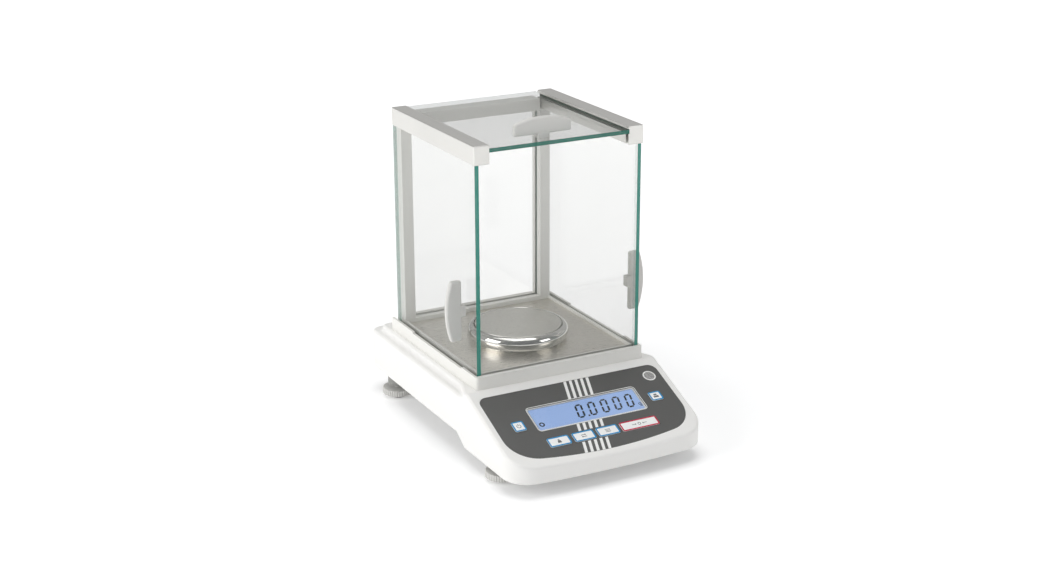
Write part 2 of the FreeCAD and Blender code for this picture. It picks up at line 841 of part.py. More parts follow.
def base_plate():
    """A bent plate inside the shell's rim, with a boss for each foot and the weighing-hook hole."""
    body = doc.addObject("PartDesign::Body", "base_sheet")
    inset = "(shell + fit_gap)"
    length = f"(half_length - {inset})"
    side = [
        (f"-{length}", "nose_plate"),
        ("-step_front", "nose_plate"),
        ("-step_rear", "rear_plate"),
        (length, "rear_plate"),
        (length, "rear_plate_top"),
        ("-step_rear", "rear_plate_top"),
        ("-step_front", "nose_plate_top"),
        (f"-{length}", "nose_plate_top"),
    ]
    pad(body, sketch_on(body, "YZ_Plane", side), f"housing_width - 2 * {inset}", symmetric=True)
    trim_nose(body, inset)
    soften(body, f"rear_corner - {inset}", upright_between(f"{length} - 1", f"{length} + 1"))
    soften(body, f"nose_corner - {inset}", upright_between(f"-{length}", f"nose_corner - {length}"))
    solids = [body]
    holes = [rod("hook_cut", ("0", "pan_y"), "nose_underside", "rear_plate_top + overshoot", "hook_hole")]
    for name, x, y in foot_places():
        solids.append(rod(name + "_boss", (x, y), "nose_underside", "boss_top", "boss_radius"))
        holes.append(rod(name + "_bore", (x, y), "0", "boss_top + overshoot", "stud_radius + running_gap"))
    for index, (x, y, seat, _) in enumerate(screw_places()):
        holes.append(rod(f"plate_hole_{index}", (x, y), f"{seat} - overshoot", f"{seat} + plate + overshoot",
                         "screw_radius + screw_gap"))
    holes.append(rod("cover_pin_hole", ("cover_arm", "pan_y"), "nose_underside",
                     "rear_plate_top + overshoot", "cover_pin"))
    return node("base_plate", cut("base_plate", fuse("base_with_bosses", *solids), *holes))


def housing_screws():
    screws = []
    for index, (x, y, seat, _) in enumerate(screw_places()):
        screws.append(screw(f"housing_screw_{index}", (x, y), seat, "screw_length"))
    return node("housing_screws", group("housing_screws", *screws))


def hook_cover():
    """The disc that closes the hole for weighing below the balance, and the pin it turns on."""
    top = "(rear_plate - cover_gap)"
    bottom = f"({top} - cover_thickness)"
    disc = rod("cover_disc", ("0", "pan_y"), bottom, top, "cover_radius")
    low = ("0", "pan_y - cover_arm_half", bottom)
    arm = box("cover_arm_plate", low, ("cover_arm", "pan_y + cover_arm_half", top))
    eye = rod("cover_eye", ("cover_arm", "pan_y"), bottom, top, "cover_arm_half")
    hole = rod("cover_hole", ("cover_arm", "pan_y"), f"{bottom} - overshoot", f"{top} + overshoot",
               "cover_pin + running_gap")
    node("hook_cover", cut("hook_cover", fuse("cover_plate", disc, arm, eye), hole))
    seat = f"({bottom} - cover_gap)"
    shank = rod("cover_pin_shank", ("cover_arm", "pan_y"), seat, "rear_plate_top", "cover_pin")
    head = rod("cover_pin_head", ("cover_arm", "pan_y"), f"{seat} - screw_head_height / 2", seat,
               "2 * cover_pin")
    node("hook_cover_pin", fuse("hook_cover_pin", shank, head))


def foot(name, x, y):
    """A knurled wheel with a threaded stud, and the rubber pad it turns on."""
    side = rectangle("0", "wheel_radius", "pad_height", "pad_height + wheel_height")
    wheel = turned(name + "_wheel", side)
    soften(wheel, "tooth_radius", lambda edge: abs(ends(edge)[0].x) > 1)
    notch = wheel.newObject("Sketcher::SketchObject", name + "_notch")
    support = [f for f in wheel.Origin.OriginFeatures if f.Role == "XY_Plane"][0]
    notch.AttachmentSupport = [(support, "")]
    notch.MapMode = "FlatFace"
    centre = FreeCAD.Vector(value("wheel_radius"), 0, 0)
    notch.addGeometry(Part.Circle(centre, VERTICAL, value("tooth_radius")), False)
    place = notch.addConstraint(Sketcher.Constraint("DistanceX", -1, 1, 0, 3, centre.x))
    notch.setExpression(f"Constraints[{place}]", bound("wheel_radius"))
    notch.addConstraint(Sketcher.Constraint("PointOnObject", 0, 3, -1))
    place = notch.addConstraint(Sketcher.Constraint("Radius", 0, value("tooth_radius")))
    notch.setExpression(f"Constraints[{place}]", bound("tooth_radius"))
    groove = wheel.newObject("PartDesign::Pocket", name + "_groove")
    groove.Profile = notch
    groove.Type = "ThroughAll"
    groove.Reversed = True
    doc.recompute()
    pattern = wheel.newObject("PartDesign::PolarPattern", name + "_knurl")
    pattern.Originals = [groove]
    pattern.Axis = (notch, ["N_Axis"])
    pattern.Angle = 360
    pattern.Occurrences = int(value("wheel_teeth"))
    wheel.Tip = pattern
    doc.recompute()
    bind(wheel, Base_x=x, Base_y=y)
    stud = rod(name + "_stud", (x, y), "pad_height", "stud_top", "stud_radius")
    pin = rod(name + "_pin", (x, y), "pad_height - pin_depth", "pad_height + overshoot", "pin_radius")
    node(name + "_screw", fuse(name + "_screw", wheel, stud, pin))
    pad_body = turned(name + "_rubber", rectangle("0", "pad_radius", "0", "pad_height"))
    soften(pad_body, "tooth_radius", lambda edge: at_height("pad_height")(edge) and ends(edge)[0].x > 1)
    bind(pad_body, Base_x=x, Base_y=y)
    socket = rod(name + "_socket", (x, y), "pad_height - pin_depth - fit_gap", "pad_height + overshoot",
                 "pin_radius + running_gap")
    node(name + "_pad", cut(name + "_pad", pad_body, socket))


# ---------------------------------------------------------------- panel

def panel_pieces():
    """The overlay with its openings, the display behind its window, and the keys on their board."""
    overlay_low = "-recess_depth"
    overlay_high = "overlay_thickness - recess_depth"
    overlay = overlay_body("overlay_sheet", "0", overlay_low, overlay_high)
    openings = key_openings("overlay_cut_", "-2 * recess_depth", "recess_depth")
    openings.append(panel_slab(
        "overlay_window", "-window_left", "window_right", "window_top", "window_bottom",
        "-2 * recess_depth", "recess_depth", "window_corner",
    ))
    openings.append(panel_rod("overlay_vial", "vial_across", "vial_down", "-2 * recess_depth",
                              "recess_depth", "vial_window_radius"))
    node("panel_overlay", cut("panel_overlay", overlay, *openings))
    node("display_window", panel_slab(
        "display_window", "panel_gap - window_left", "window_right - panel_gap",
        "window_top + panel_gap", "window_bottom - panel_gap",
        overlay_low, overlay_high, "window_corner - panel_gap",
    ))
    inset = "(window_ledge + fit_gap)"
    glass = panel_slab(
        "lcd_glass", f"{inset} - window_left", f"window_right - {inset}",
        f"window_top + {inset}", f"window_bottom - {inset}",
        "-lcd_body_start - overshoot", "-lcd_start", "window_corner - window_ledge",
    )
    back = panel_slab(
        "lcd_back", "-window_left - lcd_flange", "window_right + lcd_flange",
        "window_top - lcd_flange", "window_bottom + lcd_flange",
        "-board_depth", "-lcd_body_start", "window_corner",
    )
    node("lcd_module", fuse("lcd_module", glass, back))
    board = panel_slab(
        "board_sheet", "-board_half_width", "board_half_width", "board_top", "board_bottom",
        "-board_depth - board_thickness", "-board_depth", "window_corner",
    )
    holes = []
    screws = []
    for down in ("board_post_top", "board_post_bottom"):
        for side, sign in SIDES.items():
            name = f"board_screw_{down[-3:]}_{side}"
            across = f"{sign} * board_post_across"
            seat = "-board_depth - board_thickness"
            holes.append(panel_rod(name + "_hole", across, down, f"{seat} - overshoot",
                                   "overshoot - board_depth", "screw_radius + screw_gap"))
            shank = panel_rod(name + "_shank", across, down, seat, "-shell - overshoot", "screw_radius")
            head = panel_rod(name + "_head", across, down, f"{seat} - screw_head_height", seat,
                             "screw_head")
            screws.append(fuse(name, shank, head))
    node("display_board", cut("display_board", board, *holes))
    node("board_screws", group("board_screws", *screws))
    switches = []
    for name, (left, right, top, bottom) in KEYS.items():
        across = (left + right) / 2
        down = (top + bottom) / 2
        cap = panel_slab(name + "_cap", left, right, top, bottom, "key_foot", "key_proud", "key_corner",
                         "key_edge")
        flange = panel_slab(
            name + "_flange", f"{left} - key_flange", f"{right} + key_flange", f"{top} - key_flange",
            f"{bottom} + key_flange", "key_foot", "key_foot + key_flange_thickness", "key_corner",
        )
        stem_foot = "(switch_top + key_travel + screw_gap)"
        stem = panel_rod(name + "_stem", across, down, stem_foot, "key_foot", "key_stem_radius")
        node(name, fuse(name, cap, flange, stem))
        half = "switch_size / 2"
        switches.append(panel_slab(
            name + "_switch", f"{across} - {half}", f"{across} + {half}", f"{down} - {half}",
            f"{down} + {half}", "-board_depth", "switch_top",
        ))
    node("key_switches", group("key_switches", *switches))
    node("level_window", panel_rod(
        "level_window", "vial_across", "vial_down", overlay_low, overlay_high,
        "vial_window_radius - panel_gap",
    ))
    centre = ("vial_across", "vial_y")
    bottom = "(vial_top - vial_height)"
    cup = rod("vial_cup", centre, bottom, "vial_top", "vial_radius")
    hollow = rod("vial_hollow", centre, f"{bottom} + vial_wall", "vial_top + overshoot",
                 "vial_radius - vial_wall")
    node("level_vial", cut("level_vial", cup, hollow))
    node("level_liquid", rod("level_liquid", centre, f"{bottom} + vial_wall", "vial_top - vial_wall",
                             "vial_radius - vial_wall"))


# ---------------------------------------------------------------- draught shield

def shield_frame():
    """The frame on the deck that holds the floor plate and the lower edges of the glass."""
    corners = rectangle("-frame_half_width", "frame_half_width", "-frame_front", "frame_rear")
    body = slab("shield_base_frame", corners, "deck_top", "frame_top")
    half = "(floor_half_width - floor_ledge)"
    hollow = rectangle(f"-{half}", half, "floor_ledge - floor_front", "floor_rear - floor_ledge")
    pocket(body, "XY_Plane", hollow, "frame_top", "frame_height")
    floor_half = "(floor_half_width + fit_gap)"
    pocket(body, "XY_Plane", rectangle(f"-{floor_half}", floor_half, "-floor_front - fit_gap",
                                       "floor_rear + fit_gap"), "frame_top", "frame_top - floor_seat")
    for sign in SIDES.values():
        side = sorted((f"{sign} * groove_inner", f"{sign} * groove_outer"), key=value)
        pocket(body, "XY_Plane", rectangle(*side, "-door_front - glass_gap", "frame_rear + overshoot"),
               "frame_top", "groove_depth")
        side = sorted((f"{sign} * groove_outer", f"{sign} * (frame_half_width + overshoot)"), key=value)
        pocket(body, "XY_Plane", rectangle(*side, "-lip_front", "lip_rear"), "frame_top", "lip_drop")
    pocket(body, "XY_Plane", rectangle("-groove_inner", "groove_inner", "-door_front - glass_gap",
                                       "glass_gap - front_glass_rear"), "frame_top", "groove_depth")
    soften(body, "frame_corner", lambda edge: upright(edge) and
           abs(abs(middle(edge).x) - value("frame_half_width")) < 1e-6 and middle(edge).y < 0 and
           middle(edge).y < value("-lip_front") - 1)
    strip_low = ("-rear_rail_half", "post_front", "frame_top - overshoot")
    strip_high = ("rear_rail_half", "frame_rear", "frame_top + rear_strip_rise")
    strip = box("rear_strip", strip_low, strip_high)
    groove_low = ("-rear_glass_half - glass_gap", "rear_glass_front - glass_gap",
                  "frame_top - rear_groove_depth")
    groove_high = ("rear_glass_half + glass_gap", "rear_glass_front + glass + glass_gap",
                   "frame_top + rear_strip_rise + overshoot")
    bores = [box("rear_groove", groove_low, groove_high)]
    for index, (x, y) in enumerate(shield_screw_places()):
        bores.append(rod(f"frame_bore_{index}", (x, y), "deck_top - overshoot", "frame_top + overshoot",
                         "screw_radius + screw_gap"))
    return node("shield_base_frame", cut("frame_finished", fuse("frame_with_strip", body, strip), *bores))


def chamber_floor():
    """The steel plate under the pan, with a round hole for the pan's carrier."""
    corners = rectangle("-floor_half_width", "floor_half_width", "-floor_front", "floor_rear")
    sheet_body = slab("floor_sheet", corners, "floor_seat", "floor_top")
    hole = rod("floor_hole", ("0", "pan_y"), "deck_top", "frame_top", "carrier_hole")
    return node("chamber_floor", cut("chamber_floor", sheet_body, hole))


def post(side, sign):
    """An upright bar at a rear corner, with a groove for the rear glass and a bore in its foot."""
    left, right = sorted((f"{sign} * post_inner", f"{sign} * post_outer"), key=value)
    body = slab(f"post_{side}_bar", rectangle(left, right, "post_front", "post_rear"),
                "frame_top", "rail_bottom")
    soften(body, "post_edge", upright)
    inner, outer = sorted((f"{sign} * (post_inner - overshoot)",
                           f"{sign} * (rear_glass_half + glass_gap)"), key=value)
    groove = box(f"post_{side}_groove", (inner, "rear_glass_front - glass_gap", "frame_top - overshoot"),
                 (outer, "rear_glass_front + glass + glass_gap", "rail_bottom + overshoot"))
    places = dict(zip(SIDES, shield_screw_places()))
    bore = rod(f"post_{side}_bore", places[side], "deck_top", "frame_top + post_foot - overshoot",
               "screw_radius + screw_gap")
    return node(f"post_{side}", cut(f"post_{side}", body, groove, bore))


def side_rail(side, sign):
    """A long rail over a side door, grooved for the door, the top glass and the front glass."""
    left, right = sorted((f"{sign} * rail_inner", f"{sign} * rail_outer"), key=value)
    body = slab(f"rail_{side}_bar", rectangle(left, right, "-rail_front", "rail_rear"),
                "rail_bottom", "rail_top")
    soften(body, "rail_edge", lambda edge: True)
    door = sorted((f"{sign} * groove_inner", f"{sign} * groove_outer"), key=value)
    below = "rail_bottom - overshoot"
    door_groove = box(f"rail_{side}_door_groove", (door[0], "-door_front - glass_gap", below),
                      (door[1], "rail_rear + overshoot", "door_top + glass_gap"))
    lid = sorted((f"{sign} * (rail_inner - overshoot)", f"{sign} * (top_glass_half + glass_gap)"), key=value)
    lid_groove = box(f"rail_{side}_lid_groove",
                     (lid[0], "-top_glass_front - glass_gap", "top_glass_bottom - glass_gap"),
                     (lid[1], "rail_rear + overshoot", "top_glass_top + glass_gap"))
    front = sorted((f"{sign} * (rail_inner - overshoot)", f"{sign} * door_inner"), key=value)
    front_slot = box(f"rail_{side}_front_slot", (front[0], "-door_front - glass_gap", below),
                     (front[1], "glass_gap - front_glass_rear", "front_glass_top + glass_gap"))
    return node(f"rail_{side}", cut(f"rail_{side}", body, door_groove, lid_groove, front_slot))


def rear_rail():
    corners = rectangle("-rear_rail_half", "rear_rail_half", "post_front", "post_rear")
    body = slab("rear_rail_bar", corners, "rear_rail_bottom", "rear_rail_top")
    soften(body, "rail_edge", lambda edge: abs(middle(edge).x) < 1e-6)
    groove = box("rear_rail_groove",
                 ("-rear_rail_half - overshoot", "rear_glass_front - glass_gap",
                  "rear_rail_bottom - overshoot"),
                 ("rear_rail_half + overshoot", "rear_glass_front + glass + glass_gap",
                  "rear_glass_top + glass_gap"))
    return node("rear_rail", cut("rear_rail", body, groove))


def glass_panes():
    node("front_glass", box("front_glass", ("-front_glass_half", "-door_front", "glass_seat"),
                            ("front_glass_half", "-front_glass_rear", "front_glass_top")))
    node("rear_glass", box("rear_glass", ("-rear_glass_half", "rear_glass_front",
                                          "frame_top - rear_groove_depth"),
                           ("rear_glass_half", "rear_glass_front + glass", "rear_glass_top")))
    for side, sign in SIDES.items():
        left, right = sorted((f"{sign} * door_inner", f"{sign} * door_outer"), key=value)
        node(f"{side}_door_glass", box(f"{side}_door_glass", (left, "-door_front", "glass_seat"),
                                       (right, "door_rear", "door_top")))
    node("top_door_glass", box("top_door_glass", ("-top_glass_half", "-top_glass_front", "top_glass_bottom"),
                               ("top_glass_half", "top_glass_rear", "top_glass_top")))


def handle(name, base, turn):
    """A T-shaped grip: a short stem on the glass and a blade with a bowed outer edge."""
    half = "(handle_length / 2)"
    bow = f"(handle_arc - sqrt(handle_arc ^ 2 - {half} ^ 2))"
    outline = [
        (f"-{half}", "stem_length"),
        (half, "stem_length"),
        (half, f"stem_length + handle_depth - {bow}", "handle_arc"),
        (f"-{half}", f"stem_length + handle_depth - {bow}"),
    ]
    blade = slab(name + "_blade", outline, "-handle_thickness / 2", "handle_thickness / 2")
    soften(blade, "handle_round", lambda edge: True)
    stem = slab(name + "_stem", rectangle("-stem_width / 2", "stem_width / 2", "0",
                                          "stem_length + handle_round"),
                "-stem_thickness / 2", "stem_thickness / 2")
    grip = fuse(name, blade, stem)
    grip.Placement.Rotation = turn
    bind(grip, Base_x=base[0], Base_y=base[1], Base_z=base[2])
    return node(name, grip)


def shield_screws():
    screws = []
    for index, (x, y) in enumerate(shield_screw_places()):
        length = "frame_height + post_foot + shell - shield_screw_slack"
        screws.append(screw(f"shield_screw_{index}", (x, y), "(deck_top - shell)", length))
    return node("shield_screws", group("shield_screws", *screws))


# ---------------------------------------------------------------- pan

def pan():
    """The flat weighing pan with the hub that drops over the carrier's pin."""
    profile = [
        ("0", "carrier_seat"),
        ("hub_radius", "carrier_seat"),
        ("hub_radius", "pan_bottom"),
        ("pan_radius", "pan_bottom"),
        ("pan_radius", "pan_top"),
        ("0", "pan_top"),
    ]
    body = turned("pan_disc", profile)
    soften(body, "pan_edge", lambda edge: abs(ends(edge)[0].x) > value("pan_radius") - 1)
    bind(body, Base_y="pan_y")
    bore = rod("pan_bore", ("0", "pan_y"), "carrier_seat - overshoot", "carrier_top + fit_gap",
               "carrier_pin + running_gap")
    return node("weighing_pan", cut("weighing_pan", body, bore))


def pan_ring():
    """The polished ring that shields the pan's edge from draughts and stands on the floor plate."""
    profile = [
        ("ring_foot - ring_foot_width", "floor_top"),
        ("ring_foot", "floor_top", "ring_foot_arc"),
        ("ring_outer", "ring_belly", "ring_top_arc"),
        ("ring_inner + ring_lip", "ring_top"),
        ("ring_inner", "ring_top - ring_lip"),
        ("ring_inner", "ring_belly - overshoot"),
    ]
    body = turned("pan_ring", profile)
    bind(body, Base_y="pan_y")
    return node("pan_ring", body)


def pan_carrier():
    """The upright rod from the weigh cell, with the seat and pin for the pan."""
    lower = rod("carrier_shaft", ("0", "pan_y"), "carrier_bottom", "carrier_seat", "carrier_rod")
    seat = rod("carrier_collar", ("0", "pan_y"), "carrier_seat - carrier_collar", "carrier_seat",
               "hub_radius")
    pin = rod("carrier_tip", ("0", "pan_y"), "carrier_seat", "carrier_top", "carrier_pin")
    yoke_low = ("-lever_half_width", "pan_y - carrier_rod", "carrier_bottom")
    yoke_high = ("lever_half_width", "pan_y + carrier_rod", "pivot_z + lever_height")
    stirrup = box("carrier_stirrup", yoke_low, yoke_high)
    return node("pan_carrier", fuse("pan_carrier", lower, seat, pin, stirrup))


# ---------------------------------------------------------------- weigh cell and electronics

def weigh_cell():
    """Force compensation: a lever on a pivot in an aluminium block, with a coil in a magnet's gap."""
    block = box("cell_solid", ("-cell_half_width", "cell_front", "cell_base"),
                ("cell_half_width", "cell_rear", "cell_base + cell_height"))
    inner = "(cell_half_width - cell_wall)"
    channel = box("cell_channel", (f"-{inner}", "cell_front - overshoot", "cell_base + cell_floor"),
                  (inner, "cell_rear + overshoot", "cell_base + cell_height + overshoot"))

    def pivot(name, half, radius):
        item = doc.addObject("Part::Cylinder", name)
        item.Placement.Rotation = FreeCAD.Rotation(FreeCAD.Vector(0, 1, 0), 90)
        bind(item, Base_x=f"-({half})", Base_y="pivot_y", Base_z="pivot_z")
        bind(item, Radius=radius, Height=f"2 * ({half})")
        return item

    bearing = pivot("cell_bearing", "cell_half_width + overshoot", "pivot_radius + running_gap")
    node("weigh_cell_block", cut("weigh_cell_block", block, channel, bearing))
    beam = box("lever_beam", ("-lever_half_width", "lever_front", "lever_underside"),
               ("lever_half_width", "lever_rear", "lever_underside + lever_height"))
    shaft = pivot("lever_pivot", "cell_half_width", "pivot_radius")
    node("weigh_cell_lever", fuse("weigh_cell_lever", beam, shaft))
    centre = ("0", "coil_y")
    winding = rod("coil_winding", centre, "coil_bottom", "lever_underside", "coil_outer")
    hollow = rod("coil_hollow", centre, "coil_bottom - overshoot", "lever_underside + overshoot",
                 "coil_inner")
    node("coil", cut("coil", winding, hollow))
    yoke = rod("yoke_solid", centre, "cell_base", "yoke_top", "yoke_radius")
    gap_solid = rod("yoke_gap_outer", centre, "yoke_top - yoke_gap_depth", "yoke_top + overshoot",
                    "yoke_gap_outer")
    core = rod("yoke_gap_inner", centre, "0", "yoke_top + 2 * overshoot", "yoke_gap_inner")
    gap = cut("yoke_gap", gap_solid, core)
    node("magnet_yoke", cut("magnet_yoke", yoke, gap))
    plate_low = ("-sensor_half_width", "sensor_y", "cell_base")
    plate_high = ("sensor_half_width", "sensor_y + sensor_thickness", "cell_base + sensor_height")
    slot = rod_back("sensor_slot", "0", "pivot_z", "sensor_y - overshoot",
                    "sensor_y + sensor_thickness + overshoot", "pivot_radius")
    node("position_sensor", cut("position_sensor", box("sensor_plate", plate_low, plate_high), slot))


def electronics():
    """The main board on its standoffs, with the serial connector and the power inlet behind it."""
    node("main_board", box("main_board", ("-main_left", "main_front", "main_board"),
                           ("-main_right", "main_rear", "connector_base")))
    legs = []
    for x in ("standoff_inset - main_left", "-main_right - standoff_inset"):
        for y in ("main_front + standoff_inset", "half_length - standoff_rear_inset"):
            legs.append(rod(f"standoff_{len(legs)}", (x, y), "cell_base", "main_board", "standoff_radius"))
    node("board_standoffs", group("board_standoffs", *legs))
    low = ("-jack_x - jack_half_width", "connector_start", "connector_base")
    high = ("-jack_x + jack_half_width", "half_length", "connector_base + jack_height")
    bore = rod_back("jack_bore", "-jack_x", "jack_axis", "half_length - jack_depth",
                    "half_length + overshoot", "jack_bore")
    pin = rod_back("jack_pin", "-jack_x", "jack_axis", "half_length - jack_depth - overshoot",
                   "half_length - overshoot", "jack_pin")
    node("power_jack", fuse("power_jack", cut("jack_body", box("jack_solid", low, high), bore), pin))

    def trapezium(name, margin, back, front):
        wide = f"(serial_half_width - {margin})"
        narrow = f"({wide} - serial_taper)"
        high = f"(serial_height / 2 - {margin})"
        corners = [(f"-{wide}", f"-{high}"), (wide, f"-{high}"), (narrow, high), (f"-{narrow}", high)]
        body = slab(name, corners, back, front)
        soften(body, "serial_wall", upright)
        body.Placement.Rotation = FreeCAD.Rotation(FreeCAD.Vector(1, 0, 0), -90)
        bind(body, Base_x="-serial_x", Base_z="serial_axis")
        return body

    shell_piece = trapezium("serial_shell", "0", "connector_start", "half_length")
    mouth = trapezium("serial_mouth_cut", "serial_wall", "half_length - serial_mouth",
                      "half_length + overshoot")
    flange_y = "half_length - shell - serial_flange_thickness"
    flange = box("serial_flange_plate", ("-serial_x - serial_flange", flange_y, "connector_base"),
                 ("-serial_x + serial_flange", "half_length - shell", "connector_base + serial_height"))
    pins = []
    for row_index, count in enumerate((5, 4)):
        for index in range(count):
            x = f"{index - (count - 1) / 2} * serial_pitch - serial_x"
            z = f"serial_axis + {0.5 - row_index} * serial_pitch"
            pins.append(rod_back(f"serial_pin_{len(pins)}", x, z,
                                 "half_length - serial_mouth - overshoot",
                                 "half_length - overshoot", "serial_pin"))
    body = cut("serial_body", fuse("serial_with_flange", shell_piece, flange), mouth)
    node("serial_connector", fuse("serial_connector", body, *pins))


upper_housing()
base_plate()
housing_screws()
hook_cover()
for foot_name, foot_x, foot_y in foot_places():
    foot(foot_name, foot_x, foot_y)
panel_pieces()
shield_frame()
chamber_floor()
for side_name, side_sign in SIDES.items():
    post(side_name, side_sign)
    side_rail(side_name, side_sign)
rear_rail()
glass_panes()
shield_screws()
to_the_right = FreeCAD.Rotation(FreeCAD.Vector(1, 1, 1), 240)
to_the_left = FreeCAD.Rotation(FreeCAD.Vector(0, 1, 0), 180).multiply(to_the_right)
upwards = FreeCAD.Rotation(FreeCAD.Vector(1, 0, 0), 90)
handle("left_door_handle", ("-door_outer", "-side_handle_y", "side_handle_z"), to_the_left)
handle("right_door_handle", ("door_outer", "-side_handle_y", "side_handle_z"), to_the_right)
handle("top_door_handle", ("-top_handle_x", "-top_handle_y", "top_glass_top"), upwards)
pan()
pan_ring()
pan_carrier()
weigh_cell()
electronics()
doc.recompute()

faults = [item.Name for item in doc.Objects if {"Invalid", "Error"} & set(item.State)]
for name, item in NODES.items():
    if item.Shape.isNull() or not item.Shape.isValid() or not item.Shape.Solids:
        faults.append(name)
if faults:
    raise ValueError("not built: " + ", ".join(faults))

os.makedirs("parts", exist_ok=True)
for name, item in NODES.items():
    item.Shape.exportStep(f"parts/{name}.step")
print(len(NODES), "nodes written")
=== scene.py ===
# %% [markdown]
# # An analytical balance with a glass draught shield
# The balance's shapes are already made in CAD, each part at its place and real size. This lesson
# gives every part the finish of its real material and adds what a printer or a display maker adds:
# inks, digits, outlines and the bubble. It ends with a floor, soft lamps and a camera.

# %% Load the CAD parts as a fixed frame
import math

import bmesh
import bpy
from mathutils import Matrix, Vector


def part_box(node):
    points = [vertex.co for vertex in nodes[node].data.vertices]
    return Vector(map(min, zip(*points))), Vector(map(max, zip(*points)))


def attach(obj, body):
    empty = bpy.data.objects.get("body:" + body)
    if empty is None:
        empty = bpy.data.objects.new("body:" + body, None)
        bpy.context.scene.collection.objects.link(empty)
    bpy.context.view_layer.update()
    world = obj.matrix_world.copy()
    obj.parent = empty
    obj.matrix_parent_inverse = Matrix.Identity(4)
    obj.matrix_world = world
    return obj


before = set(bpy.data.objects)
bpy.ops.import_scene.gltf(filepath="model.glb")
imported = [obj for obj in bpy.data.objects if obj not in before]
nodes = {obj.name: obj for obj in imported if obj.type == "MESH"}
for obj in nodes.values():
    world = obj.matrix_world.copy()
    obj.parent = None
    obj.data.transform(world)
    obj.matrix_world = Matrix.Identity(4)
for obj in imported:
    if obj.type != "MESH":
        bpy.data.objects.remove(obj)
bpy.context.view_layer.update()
MM = 0.001

# %% [markdown]
# ## Two helpers for every material
# Paint and plastic makers give a colour as a hex code, which is how a screen stores it. Blender
# mixes light, so each code is turned into linear values first. The second helper adds one shader
# node: plain values go on its sockets, and another node's output is linked to them.

# %% Colour and node helpers
def linear(code):
    """An sRGB hex code as linear red, green, blue and a full alpha."""
    parts = [int(code[i:i + 2], 16) / 255 for i in (1, 3, 5)]
    return [p / 12.92 if p <= 0.04045 else ((p + 0.055) / 1.055) ** 2.4 for p in parts] + [1.0]


def add(tree, kind, inputs=None, **settings):
    """Add a node. Each input is a value, or an output socket to link."""
    node = tree.nodes.new("ShaderNode" + kind)
    for name, setting in settings.items():
        setattr(node, name, setting)
    for socket, given in (inputs or {}).items():
        if isinstance(given, bpy.types.NodeSocket):
            tree.links.new(given, node.inputs[socket])
        else:
            node.inputs[socket].default_value = given
    return node


print("white paint is", [round(v, 2) for v in linear("#EEEDEA")])

# %% [markdown]
# ## How a surface is put together
# Nearly every finish here has the same three layers: a colour that drifts a little from place to
# place, a fine relief left by the tool or mould, and a gloss that varies with the relief. They
# could be painted by hand in an image, but noise sized in millimetres needs no unwrapping and
# is the same on a 3 mm screw and a 340 mm housing. Stretching the noise along one axis turns
# grains into brush lines.

# %% A finish from two colours, a relief and a gloss
RELIEF_STRENGTH = 0.6
GRAIN_SPAN = (0.3, 0.7)     # noise values that reach the ends of the roughness range


def finish(name, light, dark, grain, relief, gloss, patch=60.0, stretch=(1, 1, 1), **sockets):
    """A material from two hex colours, grain and relief in mm, and a roughness range."""
    material = bpy.data.materials.new(name)
    material.use_nodes = True
    tree = material.node_tree
    shader = tree.nodes["Principled BSDF"]
    for socket, setting in sockets.items():
        shader.inputs[socket.replace("_", " ")].default_value = setting
    place = add(tree, "TexCoord")
    drift = add(tree, "TexNoise", {"Vector": place.outputs["Object"], "Scale": 1 / (patch * MM),
                                   "Detail": 2.0})
    shade = add(tree, "Mix", {"Factor": drift.outputs["Fac"], "A": linear(dark), "B": linear(light)},
                data_type="RGBA")
    tree.links.new(shade.outputs["Result"], shader.inputs["Base Color"])
    drawn = add(tree, "Mapping", {"Vector": place.outputs["Object"], "Scale": stretch})
    grains = add(tree, "TexNoise", {"Vector": drawn.outputs["Vector"], "Scale": 1 / (grain * MM),
                                    "Detail": 3.0})
    height = add(tree, "Bump", {"Height": grains.outputs["Fac"], "Strength": RELIEF_STRENGTH,
                                "Distance": relief * MM})
    tree.links.new(height.outputs["Normal"], shader.inputs["Normal"])
    spread = add(tree, "MapRange", {"Value": grains.outputs["Fac"], "From Min": GRAIN_SPAN[0],
                                    "From Max": GRAIN_SPAN[1], "To Min": gloss[0],
                                    "To Max": gloss[1]})
    tree.links.new(spread.outputs["Result"], shader.inputs["Roughness"])
    return material


print("each relief is drawn at", RELIEF_STRENGTH, "of its full strength")

# %% [markdown]
# ## Paint, plastic and rubber
# The housing is a die-cast shell under baked powder paint, which flows into a very fine orange
# peel of about a millimetre. The draught shield's base and the grips are moulded ABS, whose
# mould was spark-eroded to a smaller grain. Both are dielectrics of index 1.5 that scatter light
# just under the surface, so they look soft and even, and only their gloss tells them apart.

# %% Paint, plastic and rubber
# Baked powder paint over a die casting: a faint orange peel under a satin gloss.
powder_paint = finish("powder_painted_casting", "#F0EFEC", "#ECEBE8", 1.2, 0.008, (0.34, 0.42), IOR=1.5)
# ABS from a spark-eroded mould: finer grain than the paint and a duller gloss.
moulded_abs = finish("moulded_abs_white", "#E9E8E3", "#E5E4DF", 0.5, 0.006, (0.40, 0.50), IOR=1.53)
# The same plastic in grey with a coarser grain, which hides scratches underneath.
base_abs = finish("moulded_abs_grey", "#93938F", "#8A8A86", 0.6, 0.02, (0.50, 0.62), IOR=1.53)
# ABS, a little glossier where fingers polish it.
grip_abs = finish("moulded_abs_grip", "#D2D1CD", "#CAC9C5", 0.5, 0.006, (0.34, 0.44), IOR=1.53)
# Polycarbonate caps: clean white with a tight, soft highlight.
key_plastic = finish("moulded_key_polycarbonate", "#F7F7F5", "#F3F3F1", 0.4, 0.004, (0.38, 0.48),
                     IOR=1.58)
# Filled plastic that is knurled for grip, so it catches light in stripes.
wheel_plastic = finish("knurled_wheel_plastic", "#DEDDD9", "#D3D2CE", 0.8, 0.02, (0.40, 0.52), IOR=1.5)
